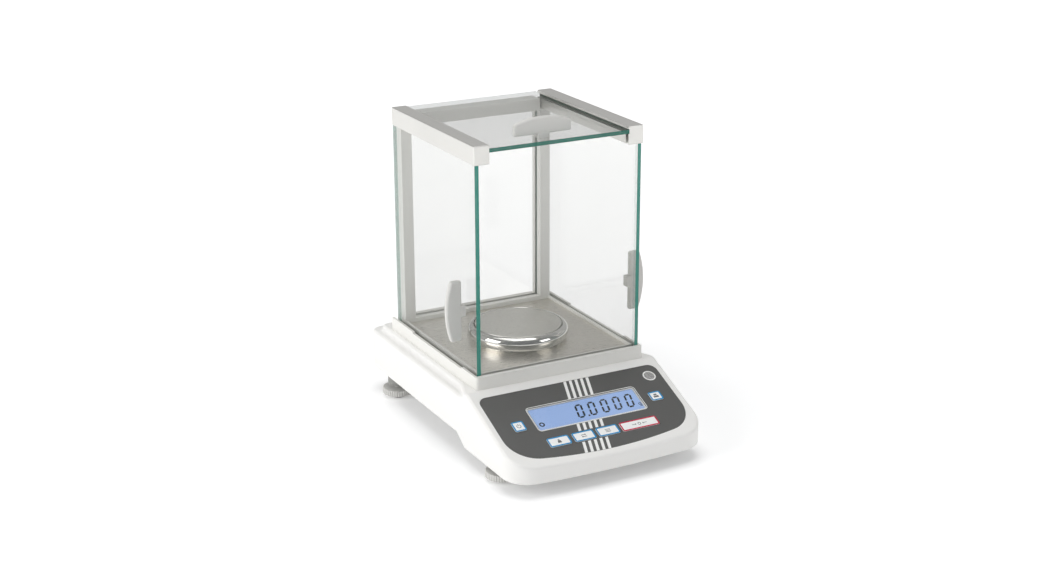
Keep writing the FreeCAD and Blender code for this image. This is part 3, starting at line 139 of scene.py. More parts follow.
# Moulded rubber: nearly black and without any highlight.
foot_rubber = finish("moulded_foot_rubber", "#2A2A2A", "#222222", 0.7, 0.03, (0.70, 0.85), IOR=1.52)
# Black ABS of sockets and switches: dark, with a soft sheen at the edges.
black_abs = finish("moulded_abs_black", "#1D1D1E", "#161617", 0.5, 0.01, (0.40, 0.55), IOR=1.53)
print("8 painted, moulded and rubber finishes")

# %% [markdown]
# ## Metals
# The side rails are extruded aluminium, etched and anodised: satin, with faint die lines along
# their length. The posts and the rear rail between them have a light grey powder paint instead.
# The floor and pan are brushed stainless steel, so their noise is drawn out thirty times along
# the brush. The ring is turned and polished, with almost no relief. A metal's colour is the
# colour of its reflection, so each keeps the default index and is mostly told by its roughness.
# Real brush lines are far below 0.1 mm, so they are drawn about ten times coarser to show.

# %% Metals
# Etched and anodised: bright satin, drawn out along the rail.
anodised = finish("anodised_aluminium_extrusion", "#DDDCD8", "#D4D3CF", 0.5, 0.004, (0.32, 0.42),
                  stretch=(1, 0.04, 1), Metallic=1.0)
# Light grey powder paint on aluminium: soft and even, without die lines.
post_paint = finish("powder_painted_post", "#EAE9E5", "#E5E4E0", 0.8, 0.006, (0.32, 0.40), IOR=1.5)
# Stainless sheet brushed from side to side: highlights smear across the brush.
brushed_steel = finish("brushed_stainless_steel", "#E4E0D9", "#DAD6CE", 0.35, 0.005, (0.24, 0.38),
                       stretch=(0.03, 1, 1), Metallic=1.0)
# Finer brushing than the floor, so it is a calmer grey.
pan_steel = finish("brushed_pan_steel", "#DBD9D4", "#D1CFCA", 0.3, 0.004, (0.26, 0.38),
                   stretch=(0.03, 1, 1), Metallic=1.0)
# Turned and buffed: a clear mirror of the room, with sharp highlights.
polished_steel = finish("polished_turned_steel", "#DCDBD8", "#D2D1CE", 0.4, 0.0005, (0.05, 0.08),
                        Metallic=1.0)
# Zinc plate over steel: a cool, slightly clouded metal.
zinc_steel = finish("zinc_plated_steel", "#BFC3C6", "#AEB3B6", 0.4, 0.006, (0.25, 0.38), Metallic=1.0)
# Milled block: fine parallel cutter marks and a pale satin.
milled_aluminium = finish("milled_aluminium_block", "#CBCCCD", "#BFC0C1", 0.6, 0.01, (0.28, 0.40),
                          stretch=(1, 0.05, 1), Metallic=1.0)
# Enamelled wire in layers: warm orange-brown rings.
copper_wire = finish("enamelled_copper_winding", "#B4683C", "#9F5630", 0.25, 0.05, (0.22, 0.34),
                     stretch=(0.02, 0.02, 1), Metallic=1.0)
# Bright nickel over a turned brass cup: a smooth metal with soft highlights.
vial_metal = finish("nickel_plated_vial_cup", "#C9C9C6", "#BBBBB8", 0.4, 0.003, (0.14, 0.24),
                    Metallic=1.0)
print("8 metals, and the paint of the posts")

# %% [markdown]
# ## Films, boards, liquid and display
# The panel is a polyester film printed dark grey on its back, so its face has a fine matt
# emboss over a deep even colour. The display is a liquid-crystal cell over a blue backlight:
# its light comes partly from itself, which is why it has a little emission. The level's
# liquid is tinted spirit, and the circuit boards have green solder mask over glass cloth.

# %% Films, boards, liquid and display
# Polyester film, embossed matt: an even dark grey with one broad soft highlight.
overlay_film = finish("printed_polyester_film", "#525250", "#4D4D4B", 0.35, 0.003, (0.40, 0.50),
                      IOR=1.57)
# Glass cell over a backlight: glows evenly and mirrors a little.
backlit_cell = finish("backlit_liquid_crystal_cell", "#A6C0EA", "#94B0DE", 0.4, 0.001, (0.20, 0.26),
                      patch=90.0, IOR=1.5, Emission_Color=linear("#86A4D6"), Emission_Strength=0.22)
# Epoxy mask over glass cloth: glossy green with a weave beneath.
solder_mask = finish("green_solder_mask_board", "#2A6B43", "#215A38", 0.8, 0.02, (0.28, 0.40), IOR=1.5)
# Spirit tinted yellow-green: a very smooth, wet surface.
tinted_spirit = finish("tinted_level_spirit", "#C9CFA0", "#BAC18C", 3.0, 0.001, (0.04, 0.08), IOR=1.36)
# Screen inks dry to a thin matt film; only their colours differ.
white_ink = finish("screen_printed_white_ink", "#F4F4F2", "#EEEEEC", 0.4, 0.002, (0.42, 0.52), IOR=1.5)
blue_ink = finish("screen_printed_blue_ink", "#0092CE", "#0088C2", 0.4, 0.002, (0.40, 0.50), IOR=1.5)
red_ink = finish("screen_printed_red_ink", "#C80A40", "#BC0638", 0.4, 0.002, (0.40, 0.50), IOR=1.5)
grey_ink = finish("screen_printed_grey_ink", "#6C6E70", "#626466", 0.4, 0.002, (0.42, 0.52), IOR=1.5)
# A switched-on crystal segment: blue-black behind glass.
dark_segment = finish("dark_crystal_segment", "#1B2733", "#16212C", 0.4, 0.001, (0.22, 0.30), IOR=1.5)
# Air in spirit: a bright smooth lens.
bubble_air = finish("air_bubble_in_spirit", "#EDEFE2", "#E4E7D4", 2.0, 0.001, (0.03, 0.06), IOR=1.3)
print("10 films, inks and liquids")

# %% [markdown]
# ## Float glass
# The panes are 4 mm soda-lime glass with ground and polished edges. Straight through, a pane
# takes away about a tenth of the light and mirrors a little, more the flatter it is looked at. Along
# the pane the iron in the glass turns light deep green, which is why its cut edges look teal, and
# paler from inside the pane than from outside. True refraction would darken and speckle the
# chamber for no visible gain in a flat pane. So the faces are a thin mirror whose share grows with
# the angle, and the edges, told apart by the direction that they face, are solid teal.

# %% Float glass, with teal where it was cut
FACE_MIRROR = 0.075       # share of light that a face stops when seen straight on
GRAZING_MIRROR = 0.85     # and how much more at a flat angle
EDGE_COVER = 0.96         # how solid a cut edge is from outside
FAR_EDGE_COVER = 0.20     # and how pale through the pane, from inside
DOOR_EDGE_COVER = 0.60    # the same for the side doors, whose rear edge stands clear
GRAZING_POWER = 5.0       # how late the mirror rises with the angle
SMEAR = 25 * MM           # size of the patches where the polish differs
EDGE_PATCH = 70 * MM      # and of the patches of deeper green


def see_through(name, mirror, tint, roughness, thin_axis=None, edge=None, far_cover=FAR_EDGE_COVER):
    """A clear sheet; with thin_axis, faces turned away from it get the edge colour."""
    material = bpy.data.materials.new(name)
    material.use_nodes = True
    tree = material.node_tree
    shader = tree.nodes["Principled BSDF"]
    angle = add(tree, "LayerWeight", {"Blend": 0.5})
    steep = add(tree, "Math", {0: angle.outputs["Facing"], 1: GRAZING_POWER}, operation="POWER")
    share = add(tree, "Math", {0: steep.outputs[0], 1: GRAZING_MIRROR, 2: mirror},
                operation="MULTIPLY_ADD")
    place = add(tree, "TexCoord")
    smear = add(tree, "TexNoise", {"Vector": place.outputs["Object"], "Scale": 1 / SMEAR})
    polish = add(tree, "MapRange", {"Value": smear.outputs["Fac"], "To Min": roughness,
                                    "To Max": 2 * roughness})
    if thin_axis is None:
        shader.inputs["Base Color"].default_value = linear(tint)
        shader.inputs["Metallic"].default_value = 1.0
        tree.links.new(share.outputs[0], shader.inputs["Alpha"])
        tree.links.new(polish.outputs["Result"], shader.inputs["Roughness"])
        return material
    facing = add(tree, "NewGeometry")
    split = add(tree, "SeparateXYZ", {"Vector": facing.outputs["True Normal"]})
    along = add(tree, "Math", {0: split.outputs[thin_axis]}, operation="ABSOLUTE")
    face = add(tree, "Math", {0: along.outputs[0], 1: 0.5}, operation="GREATER_THAN")
    depth = add(tree, "TexNoise", {"Vector": place.outputs["Object"], "Scale": 1 / EDGE_PATCH})
    green = add(tree, "Mix", {"Factor": depth.outputs["Fac"], "A": linear(edge[0]),
                              "B": linear(edge[1])}, data_type="RGBA")
    colour = add(tree, "Mix", {"Factor": face.outputs[0], "A": green.outputs["Result"],
                               "B": linear(tint)}, data_type="RGBA")
    cover = add(tree, "MapRange", {"Value": facing.outputs["Backfacing"], "To Min": EDGE_COVER,
                                   "To Max": far_cover})
    opacity = add(tree, "Mix", {"Factor": face.outputs[0], "A": cover.outputs["Result"],
                                "B": share.outputs[0]})
    tree.links.new(colour.outputs["Result"], shader.inputs["Base Color"])
    tree.links.new(face.outputs[0], shader.inputs["Metallic"])
    tree.links.new(opacity.outputs["Result"], shader.inputs["Alpha"])
    tree.links.new(polish.outputs["Result"], shader.inputs["Roughness"])
    return material


EDGE_TEAL = ("#0F7C6D", "#1F8A7A")
# The lid's cut edges: the same glass's teal, made darker as painted shade.
SHADED_LID_TEAL = ("#035F4F", "#0A6E5D")
PANE_GREY = "#ABADA6"
PANE_POLISH = 0.015
# Float glass by the way each pane stands: doors across X, panes across Y, lid across Z. The lid is the
# same glass, and its edges are a darker teal as painted shade.
glass_side = see_through("float_glass_side_door", FACE_MIRROR, PANE_GREY, PANE_POLISH, "X", EDGE_TEAL,
                         DOOR_EDGE_COVER)
glass_front = see_through("float_glass_front_pane", FACE_MIRROR, PANE_GREY, PANE_POLISH, "Y", EDGE_TEAL)
glass_lid = see_through("float_glass_top_door", FACE_MIRROR, PANE_GREY, PANE_POLISH, "Z", SHADED_LID_TEAL)
# Cast acrylic: clear, and a little softer than glass.
clear_acrylic = see_through("clear_acrylic_window", 0.04, "#F2F4F6", 0.03)
# The level's domed glass, which mirrors more than it shows.
domed_glass = see_through("domed_level_glass", 0.60, "#E2E2E0", 0.16)
print("5 clear materials")

# %% [markdown]
# ## Give each part its material
# One table from material to parts keeps this readable, and a check at the end finds a part
# that was forgotten. The parts' meshes stay as CAD made them: only their material changes.

# %% Give each part its material
KEYS = ["power", "calibrate", "units", "menu", "tare", "print"]
FEET = [f"foot_{end}_{side}" for end in ("front", "rear") for side in ("left", "right")]
wearers = {
    powder_paint: ["upper_housing"],
    moulded_abs: ["shield_base_frame"],
    base_abs: ["base_plate", "hook_cover"],
    anodised: ["rail_left", "rail_right"],
    post_paint: ["post_left", "post_right", "rear_rail"],
    glass_side: ["left_door_glass", "right_door_glass"],
    glass_front: ["front_glass", "rear_glass"],
    glass_lid: ["top_door_glass"],
    brushed_steel: ["chamber_floor"],
    pan_steel: ["weighing_pan"],
    polished_steel: ["pan_ring"],
    overlay_film: ["panel_overlay"],
    clear_acrylic: ["display_window"],
    domed_glass: ["level_window"],
    backlit_cell: ["lcd_module"],
    key_plastic: ["key_" + key for key in KEYS],
    solder_mask: ["display_board", "position_sensor", "main_board"],
    black_abs: ["key_switches", "power_jack"],
    zinc_steel: ["housing_screws", "hook_cover_pin", "board_screws", "shield_screws", "magnet_yoke",
                 "board_standoffs", "serial_connector"],
    milled_aluminium: ["pan_carrier", "weigh_cell_block", "weigh_cell_lever"],
    copper_wire: ["coil"],
    grip_abs: ["left_door_handle", "right_door_handle", "top_door_handle"],
    wheel_plastic: [foot + "_screw" for foot in FEET],
    foot_rubber: [foot + "_pad" for foot in FEET],
    vial_metal: ["level_vial"],
    tinted_spirit: ["level_liquid"],
}
dressed = set()
for material, names in wearers.items():
    for name in names:
        nodes[name].data.materials.clear()
        nodes[name].data.materials.append(material)
        dressed.add(name)
print("parts with no finish:", sorted(set(nodes) - dressed) or "none")

# %% [markdown]
# ## The panel as a drawing board
# Everything printed on the panel is laid out as a graphic artist would: so far across, so far
# down the slope, so far out of the surface. The edges of the keys, the display and the film are
# measured from the CAD parts, so the prints can't drift away from them. The slope's angle isn't:
# it is the panel's own angle in CAD, written here once, and has to be changed along with it.

# %% The panel as a drawing board
PANEL_SLOPE = math.radians(22.37)
DOWN = Vector((0, -math.cos(PANEL_SLOPE), -math.sin(PANEL_SLOPE)))
OUT = Vector((0, -math.sin(PANEL_SLOPE), math.cos(PANEL_SLOPE)))


def extent(name, direction):
    """How far a part reaches along a direction, lowest and highest, in metres."""
    reach = [vertex.co.dot(direction) for vertex in nodes[name].data.vertices]
    return min(reach), max(reach)


overlay_top_edge = extent("panel_overlay", DOWN)[0]
overlay_bottom_edge = extent("panel_overlay", DOWN)[1]
FILM_FACE = extent("panel_overlay", OUT)[1]
LAYER = 0.03 * MM          # thickness of a printed layer, and the air under it
FACE_DEPTH = 0.35 * MM     # how far under its highest point a part still counts as its face


def panel_place(across, down, height):
    """A point from its place across X, along DOWN and along OUT."""
    return Vector((across, 0, 0)) + DOWN * down + OUT * height


def frame_of(name):
    """Left, right, top and bottom of a part on the panel, from its own outermost face."""
    mesh = nodes[name].data
    face = extent(name, OUT)[1]
    near = [v.co for v in mesh.vertices if v.co.dot(OUT) > face - FACE_DEPTH]
    across = [co.x for co in near]
    down = [co.dot(DOWN) for co in near]
    return min(across), max(across), min(down), max(down)


display = frame_of("display_window")
print("display is", round((display[1] - display[0]) / MM, 1), "mm wide")

# %% [markdown]
# ## Printed shapes
# Screen printing lays ink as flat patches with crisp edges. A patch could be a picture on the
# film, but a thin plate of ink keeps its edge sharp at any size. Two builders are enough: a
# plate from an outline, and a band between two outlines.

# %% Builders for plates and bands of ink
def plate(outline, low, high):
    """Points and faces of a thin plate with this outline, between two heights."""
    count = len(outline)
    points = [panel_place(*p, low) for p in outline] + [panel_place(*p, high) for p in outline]
    faces = [list(range(count, 2 * count)), list(range(count - 1, -1, -1))]
    faces += [[i, (i + 1) % count, (i + 1) % count + count, i + count] for i in range(count)]
    return points, faces


def band(outer, inner, low, high, closed=True):
    """Points and faces of the strip between two lines of the same number of points."""
    count = len(outer)
    rows = [(outer, low), (inner, low), (inner, high), (outer, high)]
    points = [panel_place(*p, height) for line, height in rows for p in line]
    faces = []
    for i in range(count if closed else count - 1):
        j = (i + 1) % count
        for row in range(4):
            after = (row + 1) % 4
            faces.append([row * count + i, row * count + j, after * count + j, after * count + i])
    if not closed:
        faces.append([row * count for row in range(4)])
        faces.append([row * count + count - 1 for row in (3, 2, 1, 0)])
    return points, faces


def round_corners(left, right, top, bottom, corner, steps=6):
    """A rectangle with round corners, as a line of points."""
    line = []
    for x, y, start in ((right - corner, bottom - corner, 0), (left + corner, bottom - corner, 90),
                        (left + corner, top + corner, 180), (right - corner, top + corner, 270)):
        for step in range(steps + 1):
            angle = math.radians(start + 90 * step / steps)
            line.append((x + corner * math.cos(angle), y + corner * math.sin(angle)))
    return line


def ring_line(x, y, radius, start=0, stop=360, steps=48):
    """Points on a circle, or on a part of one with both its ends."""
    whole = stop - start == 360
    count = steps if whole else steps + 1
    angles = [math.radians(start + (stop - start) * i / steps) for i in range(count)]
    return [(x + radius * math.cos(a), y + radius * math.sin(a)) for a in angles]


def set_down(name, mesh, material, body):
    """Make an object of a mesh, with its material, that rides on a body."""
    mesh.materials.append(material)
    made = bpy.data.objects.new(name, mesh)
    bpy.context.scene.collection.objects.link(made)
    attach(made, body)


def piece(name, parts, material, body):
    """Join plates and bands into one object that rides on a body."""
    mesh = bpy.data.meshes.new(name)
    points, faces = [], []
    for part_points, part_faces in parts:
        faces += [[i + len(points) for i in face] for face in part_faces]
        points += part_points
    mesh.from_pydata(points, [], faces)
    shape = bmesh.new()
    shape.from_mesh(mesh)
    bmesh.ops.recalc_face_normals(shape, faces=shape.faces)
    shape.to_mesh(mesh)
    shape.free()
    set_down(name, mesh, material, body)


print("ink layers are", LAYER / MM, "mm thick")

# %% [markdown]
# ## Stripes and the display's border
# A plain band of slanting white stripes crosses the film from its top edge to its bottom edge,
# and stops at the display and at the keys. All the stripes have one width. The
# display has a thin white line round it, which hides the edge of the punched film.

# %% Stripes and the display's border
STRIPES = 5
EDGE_MARGIN = 0.3 * MM      # film left bare at its top and bottom edge
STRIPE_WIDTH = 3.1 * MM
STRIPE_STEP = 6.3 * MM
STRIPE_TOP = -4.3 * MM      # left edge of the band at the film's top edge
STRIPE_LEAN = -0.26         # how far a stripe leans for each step down
BOTTOM_RADIUS = 440 * MM    # radius of the film's bowed bottom edge
ink_low, ink_high = FILM_FACE + 0.5 * LAYER, FILM_FACE + 1.5 * LAYER
row_top = frame_of("key_units")[2]
row_bottom = frame_of("key_units")[3]
CLEAR = 1.2 * MM            # film left bare round the display and the keys
SHARPEST_CORNER = 0.2 * MM


def stripe(index, start, stop):
    """One run of one stripe, between two places down the panel."""
    left = STRIPE_TOP + index * STRIPE_STEP
    corners = []
    for shift, down in ((0, start), (STRIPE_WIDTH, start), (STRIPE_WIDTH, stop), (0, stop)):
        across = left + shift + STRIPE_LEAN * (down - overlay_top_edge)
        if down == overlay_bottom_edge:
            down -= BOTTOM_RADIUS - math.sqrt(BOTTOM_RADIUS ** 2 - across ** 2) + EDGE_MARGIN
        corners.append((across, down))
    return plate(corners, ink_low, ink_high)


runs = [(overlay_top_edge + EDGE_MARGIN, display[2] - CLEAR), (display[3] + CLEAR, row_top - CLEAR),
        (row_bottom + CLEAR, overlay_bottom_edge)]
piece("stripe_print", [stripe(i, *run) for i in range(STRIPES) for run in runs], white_ink,
      "housing")


def outline_print(name, edges, corner, width, grow, heights, material, body):
    """A line of ink along the edge of a rectangle with round corners."""
    left, right, top, bottom = edges
    outer = round_corners(left - grow, right + grow, top - grow, bottom + grow, corner + grow)
    inner_grow = grow - width
    inner = round_corners(left - inner_grow, right + inner_grow, top - inner_grow,
                          bottom + inner_grow, max(corner + inner_grow, SHARPEST_CORNER))
    piece(name, [band(outer, inner, *heights)], material, body)


WINDOW_CORNER = 3 * MM
BORDER_WIDTH = 0.7 * MM
BORDER_REACH = 0.95 * MM    # how far the border's outer edge stands out from the window
outline_print("display_border", display, WINDOW_CORNER, BORDER_WIDTH, BORDER_REACH,
              (ink_low, ink_high), white_ink, "housing")
print(STRIPES, "stripes and one border")

# %% [markdown]
# ## Digits on the display
# A seven-segment digit is seven bars with pointed ends. Six of them lit make a nought, and the
# balance shows an empty pan as five noughts with a point after the first. The segments are
# thin plates just above the crystal cell, behind the window, where the real ones are.

# %% Digits on the display
cell_face = extent("lcd_module", OUT)[1]
segment_heights = (cell_face + LAYER, cell_face + 2 * LAYER)
DIGIT = {"width": 8.2 * MM, "height": 18.2 * MM, "bar": 2.1 * MM, "step": 13.95 * MM}
LAST_DIGIT_IN = 14.4 * MM   # from the window's right edge to the last digit's left edge
DIGIT_LEAN = -0.19          # how far a digit's foot stands left of its head, for each step down
digits_top = display[2] + 6.6 * MM
SEGMENT_GAP = 0.3 * MM


def bar(start, end):
    """The outline of one segment: a bar with a point at each end."""
    a, b = Vector(start), Vector(end)
    along = (b - a).normalized()
    side = Vector((-along.y, along.x)) * DIGIT["bar"] / 2
    a, b = a + along * SEGMENT_GAP, b - along * SEGMENT_GAP
    tip = along * DIGIT["bar"] / 2
    return [tuple(p) for p in (a, a + tip + side, b - tip + side, b, b - tip - side, a + tip - side)]


def nought(left, top):
    """Six segments that lean, from the top left corner of the digit."""
    inset = DIGIT["bar"] / 2
    x0, x1 = left + inset, left + DIGIT["width"] - inset
    y0, y2 = top + inset, top + DIGIT["height"] - inset
    y1 = (y0 + y2) / 2
    lines = [((x0, y0), (x1, y0)), ((x1, y0), (x1, y1)), ((x1, y1), (x1, y2)),
             ((x1, y2), (x0, y2)), ((x0, y2), (x0, y1)), ((x0, y1), (x0, y0))]
    leaning = [[(x + DIGIT_LEAN * (y - top), y) for x, y in bar(*line)] for line in lines]
    return [plate(outline, *segment_heights) for outline in leaning]


DIGITS = 5
POINT_HALF, POINT_CORNER = 1.0 * MM, 0.4 * MM
STEADY_RADII = (2.9 * MM, 1.5 * MM)     # the ring that shows a steady reading
GRAM_RADII = (1.6 * MM, 0.95 * MM)      # the bowl of the unit letter
GRAM_TAIL = 1.0 * MM                    # how far its tail hangs, before the stroke

segments = []
for place in range(DIGITS):
    digit_left = display[1] - LAST_DIGIT_IN - place * DIGIT["step"]
    segments += nought(digit_left, digits_top)
digits_bottom = digits_top + DIGIT["height"]
point_x = digit_left + DIGIT["width"] + 0.6 * MM
point_y = digits_bottom - 1.2 * MM
segments.append(plate(round_corners(point_x - POINT_HALF, point_x + POINT_HALF, point_y - POINT_HALF,
                                    point_y + POINT_HALF, POINT_CORNER), *segment_heights))
steady_x, steady_y = display[0] + 7.0 * MM, display[3] - 8.7 * MM
segments.append(band(*[ring_line(steady_x, steady_y, r) for r in STEADY_RADII], *segment_heights))
bowl, inside = GRAM_RADII
gram_x, gram_y = display[1] - 3.6 * MM, digits_bottom - 0.6 * MM
segments.append(band(*[ring_line(gram_x, gram_y - bowl, r) for r in GRAM_RADII], *segment_heights))
stem = (gram_x + inside, gram_x + bowl, gram_y - 2 * bowl, gram_y + bowl)
tail = (gram_x - 1.2 * MM, gram_x + GRAM_TAIL, gram_y + GRAM_TAIL, gram_y + bowl)
for edges in (stem, tail):
    segments.append(plate(round_corners(*edges, SHARPEST_CORNER), *segment_heights))
piece("display_digits", segments, dark_segment, "housing")
print(len(segments), "segments on the display")

# %% [markdown]
# ## Outlines and signs on the keys
# Each key cap is printed with a coloured line along its edge and a plain sign in the middle. The
# ink moves with its key, so each print rides on that key's own body. The signs are common
# ones: a standby circle, a calibration weight, swapped arrows, menu lines, arrows that meet at
# nought, and a sheet leaving a printer.

# %% Outlines and signs on the keys
KEY_CORNER = 2 * MM
KEY_LINE = 1.45 * MM        # width of the coloured outline
KEY_INSET = 0.02 * MM       # bare cap outside it
SIGN_LINE = 0.6 * MM        # width of a line in a sign
HEAD_LENGTH, HEAD_HALF = 1.4 * MM, 1.1 * MM
STANDBY_RADIUS = 2.4 * MM
STANDBY_TURN = (-60, 240)   # the ring stays open at the top, in degrees
MENU_ROWS = (-1.9, -0.3, 1.3)
HALF_SIGN = 2.8 * MM        # half the width of the wider signs


def open_ring(x, y, radius, width, start, stop):
    """The outer and inner line of a part of a ring."""
    return ring_line(x, y, radius, start, stop, 24), ring_line(x, y, radius - width, start, stop, 24)


def strip(x0, y0, x1, y1):
    """The outline of a straight bar between two corners."""
    return [(x0, y0), (x1, y0), (x1, y1), (x0, y1)]


def arrow(x, y, length, sign):
    """A stem and a head that point left or right."""
    neck = x + sign * length
    stem = strip(x, y - SIGN_LINE / 2, neck, y + SIGN_LINE / 2)
    head = [(neck, y - HEAD_HALF), (neck + sign * HEAD_LENGTH, y), (neck, y + HEAD_HALF)]
    return [stem, head]


def sign_of(key, x, y):
    """Plates and bands of a key's sign, round its middle."""
    if key == "power":
        ring = open_ring(x, y, STANDBY_RADIUS, SIGN_LINE, *STANDBY_TURN)
        stroke = strip(x - SIGN_LINE / 2, y - 3.0 * MM, x + SIGN_LINE / 2, y - 0.4 * MM)
        return [stroke], [(ring, False)]
    if key == "calibrate":
        body = [(x - 2.1 * MM, y + 2.2 * MM), (x - 1.5 * MM, y - 0.9 * MM),
                (x + 1.5 * MM, y - 0.9 * MM), (x + 2.1 * MM, y + 2.2 * MM)]
        knob = (ring_line(x, y - 1.7 * MM, 0.9 * MM), ring_line(x, y - 1.7 * MM, 0.35 * MM))
        return [body], [(knob, True)]
    if key == "units":
        over = arrow(x - HALF_SIGN, y - 1.2 * MM, 4.2 * MM, 1)
        under = arrow(x + HALF_SIGN, y + 1.2 * MM, 4.2 * MM, -1)
        return over + under, []
    if key == "menu":
        return [strip(x - HALF_SIGN, y + row * MM, x + HALF_SIGN, y + row * MM + SIGN_LINE)
                for row in MENU_ROWS], []
    if key == "tare":
        nought_line = (ring_line(x, y, 1.7 * MM), ring_line(x, y, 1.7 * MM - SIGN_LINE))
        from_left = arrow(x - 8.2 * MM, y, 3.6 * MM, 1)
        from_right = arrow(x + 8.2 * MM, y, 3.6 * MM, -1)
        return from_left + from_right, [(nought_line, True)]
    sheet = strip(x - 1.6 * MM, y - 2.6 * MM, x + 1.6 * MM, y - 0.6 * MM)
    case = strip(x - HALF_SIGN, y, x + HALF_SIGN, y + 2.2 * MM)
    return [sheet, case], []


for key in KEYS:
    node_name = "key_" + key
    edges = frame_of(node_name)
    cap_face = extent(node_name, OUT)[1]
    heights = (cap_face + 0.3 * LAYER, cap_face + LAYER)
    ink = red_ink if key == "tare" else blue_ink
    outline_print(key + "_outline", edges, KEY_CORNER, KEY_LINE, -KEY_INSET, heights, ink,
                  key + "_key")
    middle = ((edges[0] + edges[1]) / 2, (edges[2] + edges[3]) / 2)
    solid, rings = sign_of(key, *middle)
    parts = [plate(outline, *heights) for outline in solid]
    parts += [band(*lines, *heights, closed=closed) for lines, closed in rings]
    piece(key + "_sign", parts, grey_ink, key + "_key")
print(len(KEYS), "keys printed")

# %% [markdown]
# ## The level
# A round spirit level stands upright under a window in the sloping panel. Its bubble is a
# flat lens of air under the glass, and a black circle shows where it has to stand. The window's
# rim is a white printed ring that the eye sees first.

# %% The level
low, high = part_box("level_liquid")
level_centre = Vector(((low.x + high.x) / 2, (low.y + high.y) / 2, high.z))
window_low, window_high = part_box("level_window")
window_across = (window_low.x + window_high.x) / 2
window_down = sum(extent("level_window", DOWN)) / 2
window_radius = (window_high.x - window_low.x) / 2
RIM_OUT, RIM_IN = 0.1 * MM, 1.1 * MM    # how far the rim reaches outside and inside the window
rim_heights = (FILM_FACE + 0.3 * LAYER, FILM_FACE + 3 * LAYER)
rim_lines = [ring_line(window_across, window_down, window_radius + reach, steps=64)
             for reach in (RIM_OUT, -RIM_IN)]
piece("level_rim", [band(*rim_lines, *rim_heights)], white_ink, "housing")


def turned_piece(name, profile, centre, material, body, steps=48):
    """A closed profile of radius and height, turned round the vertical."""
    shape = bmesh.new()
    rings = []
    for radius, height in profile:
        rings.append([shape.verts.new(centre + Vector((radius * math.cos(2 * math.pi * i / steps),
                                                       radius * math.sin(2 * math.pi * i / steps),
                                                       height))) for i in range(steps)])
    for lower, upper in zip(rings, rings[1:] + rings[:1]):
        for i in range(steps):
            j = (i + 1) % steps
            shape.faces.new((lower[i], lower[j], upper[j], upper[i]))
    bmesh.ops.recalc_face_normals(shape, faces=shape.faces)
    mesh = bpy.data.meshes.new(name)
    shape.to_mesh(mesh)
    shape.free()
    for polygon in mesh.polygons:
        polygon.use_smooth = True
    set_down(name, mesh, material, body)


BUBBLE_RADIUS = 1.9 * MM
BUBBLE_HEIGHT = 0.45 * MM
TIP = 0.02 * MM             # smallest radius of the lens, and its lift above the liquid
lens = [(max(BUBBLE_RADIUS * math.cos(a), TIP), BUBBLE_HEIGHT * math.sin(a))
        for a in (math.radians(step) for step in range(0, 91, 15))]
lens.append((TIP, 0.0))
turned_piece("level_bubble", lens, level_centre + Vector((0, 0, TIP)), bubble_air, "housing")
CIRCLE_OUTER, CIRCLE_INNER, CIRCLE_DEPTH = 2.6 * MM, 2.3 * MM, 0.05 * MM
circle = [(CIRCLE_OUTER, 0.0), (CIRCLE_OUTER, CIRCLE_DEPTH), (CIRCLE_INNER, CIRCLE_DEPTH),
          (CIRCLE_INNER, 0.0)]
turned_piece("level_circle", circle, level_centre + Vector((0, 0, TIP)), black_abs, "housing")
print("level window is", round(2 * window_radius / MM, 1), "mm across")

# %% [markdown]
# ## Floor and soft light
# The balance stands on a pale floor that runs out of sight. It glows a little more with distance,
# so that it stays white beyond the lamps and still takes a shadow close by. A wide lamp from the
# left is the main one, a larger one overhead fills the top faces, and a weaker one at the front
# right lights the panel. The sky is grey in front and lighter behind, because polished steel and
# anodised rails show what stands round them: without a dark side they would look like white
# plastic.

# %% Floor and soft light
FLOOR_RADIUS = 8.0
FLOOR_SIDES = 96
FLOOR_GAP = 0.2 * MM        # air under the feet, so that the two faces don't flicker
turns = [2 * math.pi * i / FLOOR_SIDES for i in range(FLOOR_SIDES)]
rim = [(FLOOR_RADIUS * math.cos(a), FLOOR_RADIUS * math.sin(a), -FLOOR_GAP) for a in turns]
floor_mesh = bpy.data.meshes.new("floor")
floor_mesh.from_pydata(rim, [], [list(range(FLOOR_SIDES))])
floor = bpy.data.objects.new("floor", floor_mesh)
bpy.context.scene.collection.objects.link(floor)
floor_paint = finish("matt_studio_floor", "#F4F4F4", "#F2F2F2", 4.0, 0.002, (0.85, 0.95), patch=900.0,
                     IOR=1.3, Emission_Color=linear("#FFFFFF"))
glow_tree = floor_paint.node_tree
from_middle = add(glow_tree, "VectorMath", {0: add(glow_tree, "TexCoord").outputs["Object"]},
                  operation="LENGTH")
GLOW_REACH = (0.25, 2.0)    # metres from the middle where the glow starts to rise and stops
GLOW = (0.26, 0.75)         # how strong it is at those two
glow = add(glow_tree, "MapRange", {"Value": from_middle.outputs["Value"], "From Min": GLOW_REACH[0],
                                   "From Max": GLOW_REACH[1], "To Min": GLOW[0],
                                   "To Max": GLOW[1]})
floor_shader = glow_tree.nodes["Principled BSDF"]
glow_tree.links.new(glow.outputs["Result"], floor_shader.inputs["Emission Strength"])
floor_mesh.materials.append(floor_paint)


def soft_lamp(name, place, aim, size, watts):
    """A square lamp at a place in metres, turned to a point."""
    lamp = bpy.data.lights.new(name, "AREA")
    lamp.shape = "SQUARE"
    lamp.size = size
    lamp.energy = watts
    holder = bpy.data.objects.new(name, lamp)
    holder.location = place
    holder.rotation_euler = (Vector(aim) - Vector(place)).to_track_quat("-Z", "Y").to_euler()
    bpy.context.scene.collection.objects.link(holder)


MIDDLE = (0, 0, 0.15)
soft_lamp("left_lamp", (-1.9, 0.0, 0.9), MIDDLE, 1.2, 20)
soft_lamp("overhead_lamp", (0.0, 0.1, 2.2), MIDDLE, 1.6, 20)
soft_lamp("right_lamp", (1.3, -1.6, 1.1), MIDDLE, 0.9, 8.5)

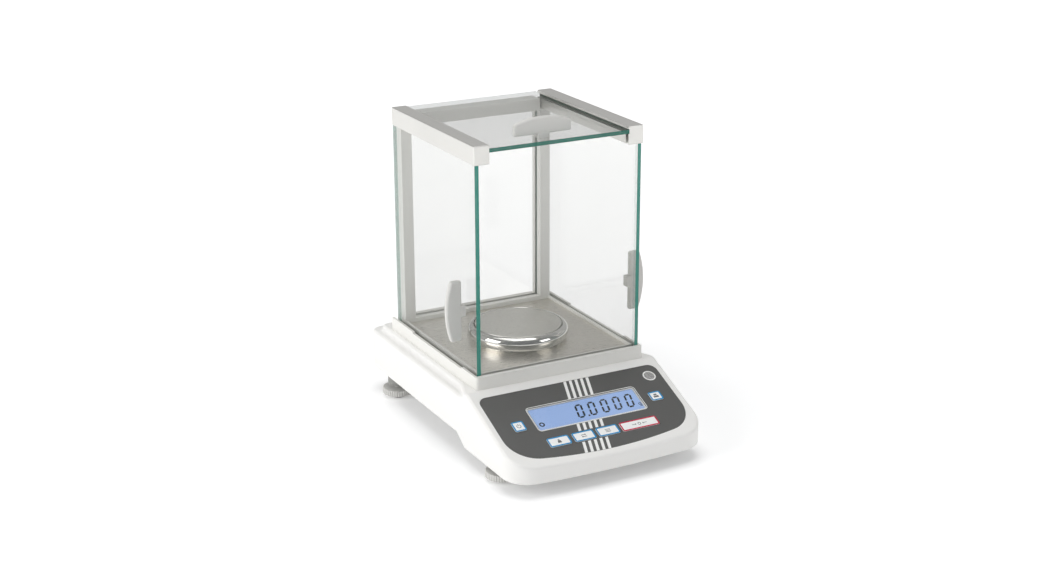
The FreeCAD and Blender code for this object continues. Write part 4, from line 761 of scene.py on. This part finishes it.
sky = bpy.data.worlds.new("studio_sky")
sky.use_nodes = True
sky_tree = sky.node_tree
background = sky_tree.nodes["Background"]
look = add(sky_tree, "TexCoord")
split = add(sky_tree, "SeparateXYZ", {"Vector": look.outputs["Generated"]})
behind = add(sky_tree, "MapRange", {"Value": split.outputs["Y"], "From Min": -0.7, "From Max": 0.5})
sky_colour = add(sky_tree, "Mix", {"Factor": behind.outputs["Result"], "A": linear("#727478"),
                                   "B": linear("#BCBCBC")}, data_type="RGBA")
sky_tree.links.new(sky_colour.outputs["Result"], background.inputs["Color"])
bpy.context.scene.world = sky
bpy.context.scene.view_settings.view_transform = "Standard"
print("3 lamps and a sky")

# %% [markdown]
# ## Camera
# The camera looks down on the front left corner, so that the panel and the inside of the chamber
# show at once. It stands well back, with a lens longer than normal, so the uprights stay nearly
# parallel.

# %% Camera
AZIMUTH, ELEVATION, ROLL = math.radians(-27.89), math.radians(18.7), math.radians(-0.22)
TARGET = Vector((-1.74, 17.2, 144.8)) * MM
DISTANCE = 1.7951
SENSOR, LENS = 36.0, 60.97  # both in mm
back = Vector((math.sin(AZIMUTH) * math.cos(ELEVATION), -math.cos(AZIMUTH) * math.cos(ELEVATION),
               math.sin(ELEVATION)))
right = Vector((math.cos(AZIMUTH), math.sin(AZIMUTH), 0))
up = back.cross(right)
level_right = right * math.cos(ROLL) + up * math.sin(ROLL)
level_up = up * math.cos(ROLL) - right * math.sin(ROLL)
lens_data = bpy.data.cameras.new("camera")
lens_data.sensor_width = SENSOR
lens_data.lens = LENS
camera = bpy.data.objects.new("camera", lens_data)
axes = Matrix((level_right, level_up, back)).transposed().to_4x4()
camera.matrix_world = Matrix.Translation(TARGET + back * DISTANCE) @ axes
bpy.context.scene.collection.objects.link(camera)
bpy.context.scene.camera = camera
print("camera is", round(DISTANCE, 2), "m from the balance")

# %% [markdown]
# ## The end
# The finished model has to stay as large as the CAD parts.

# %% The end
print("end of the script")
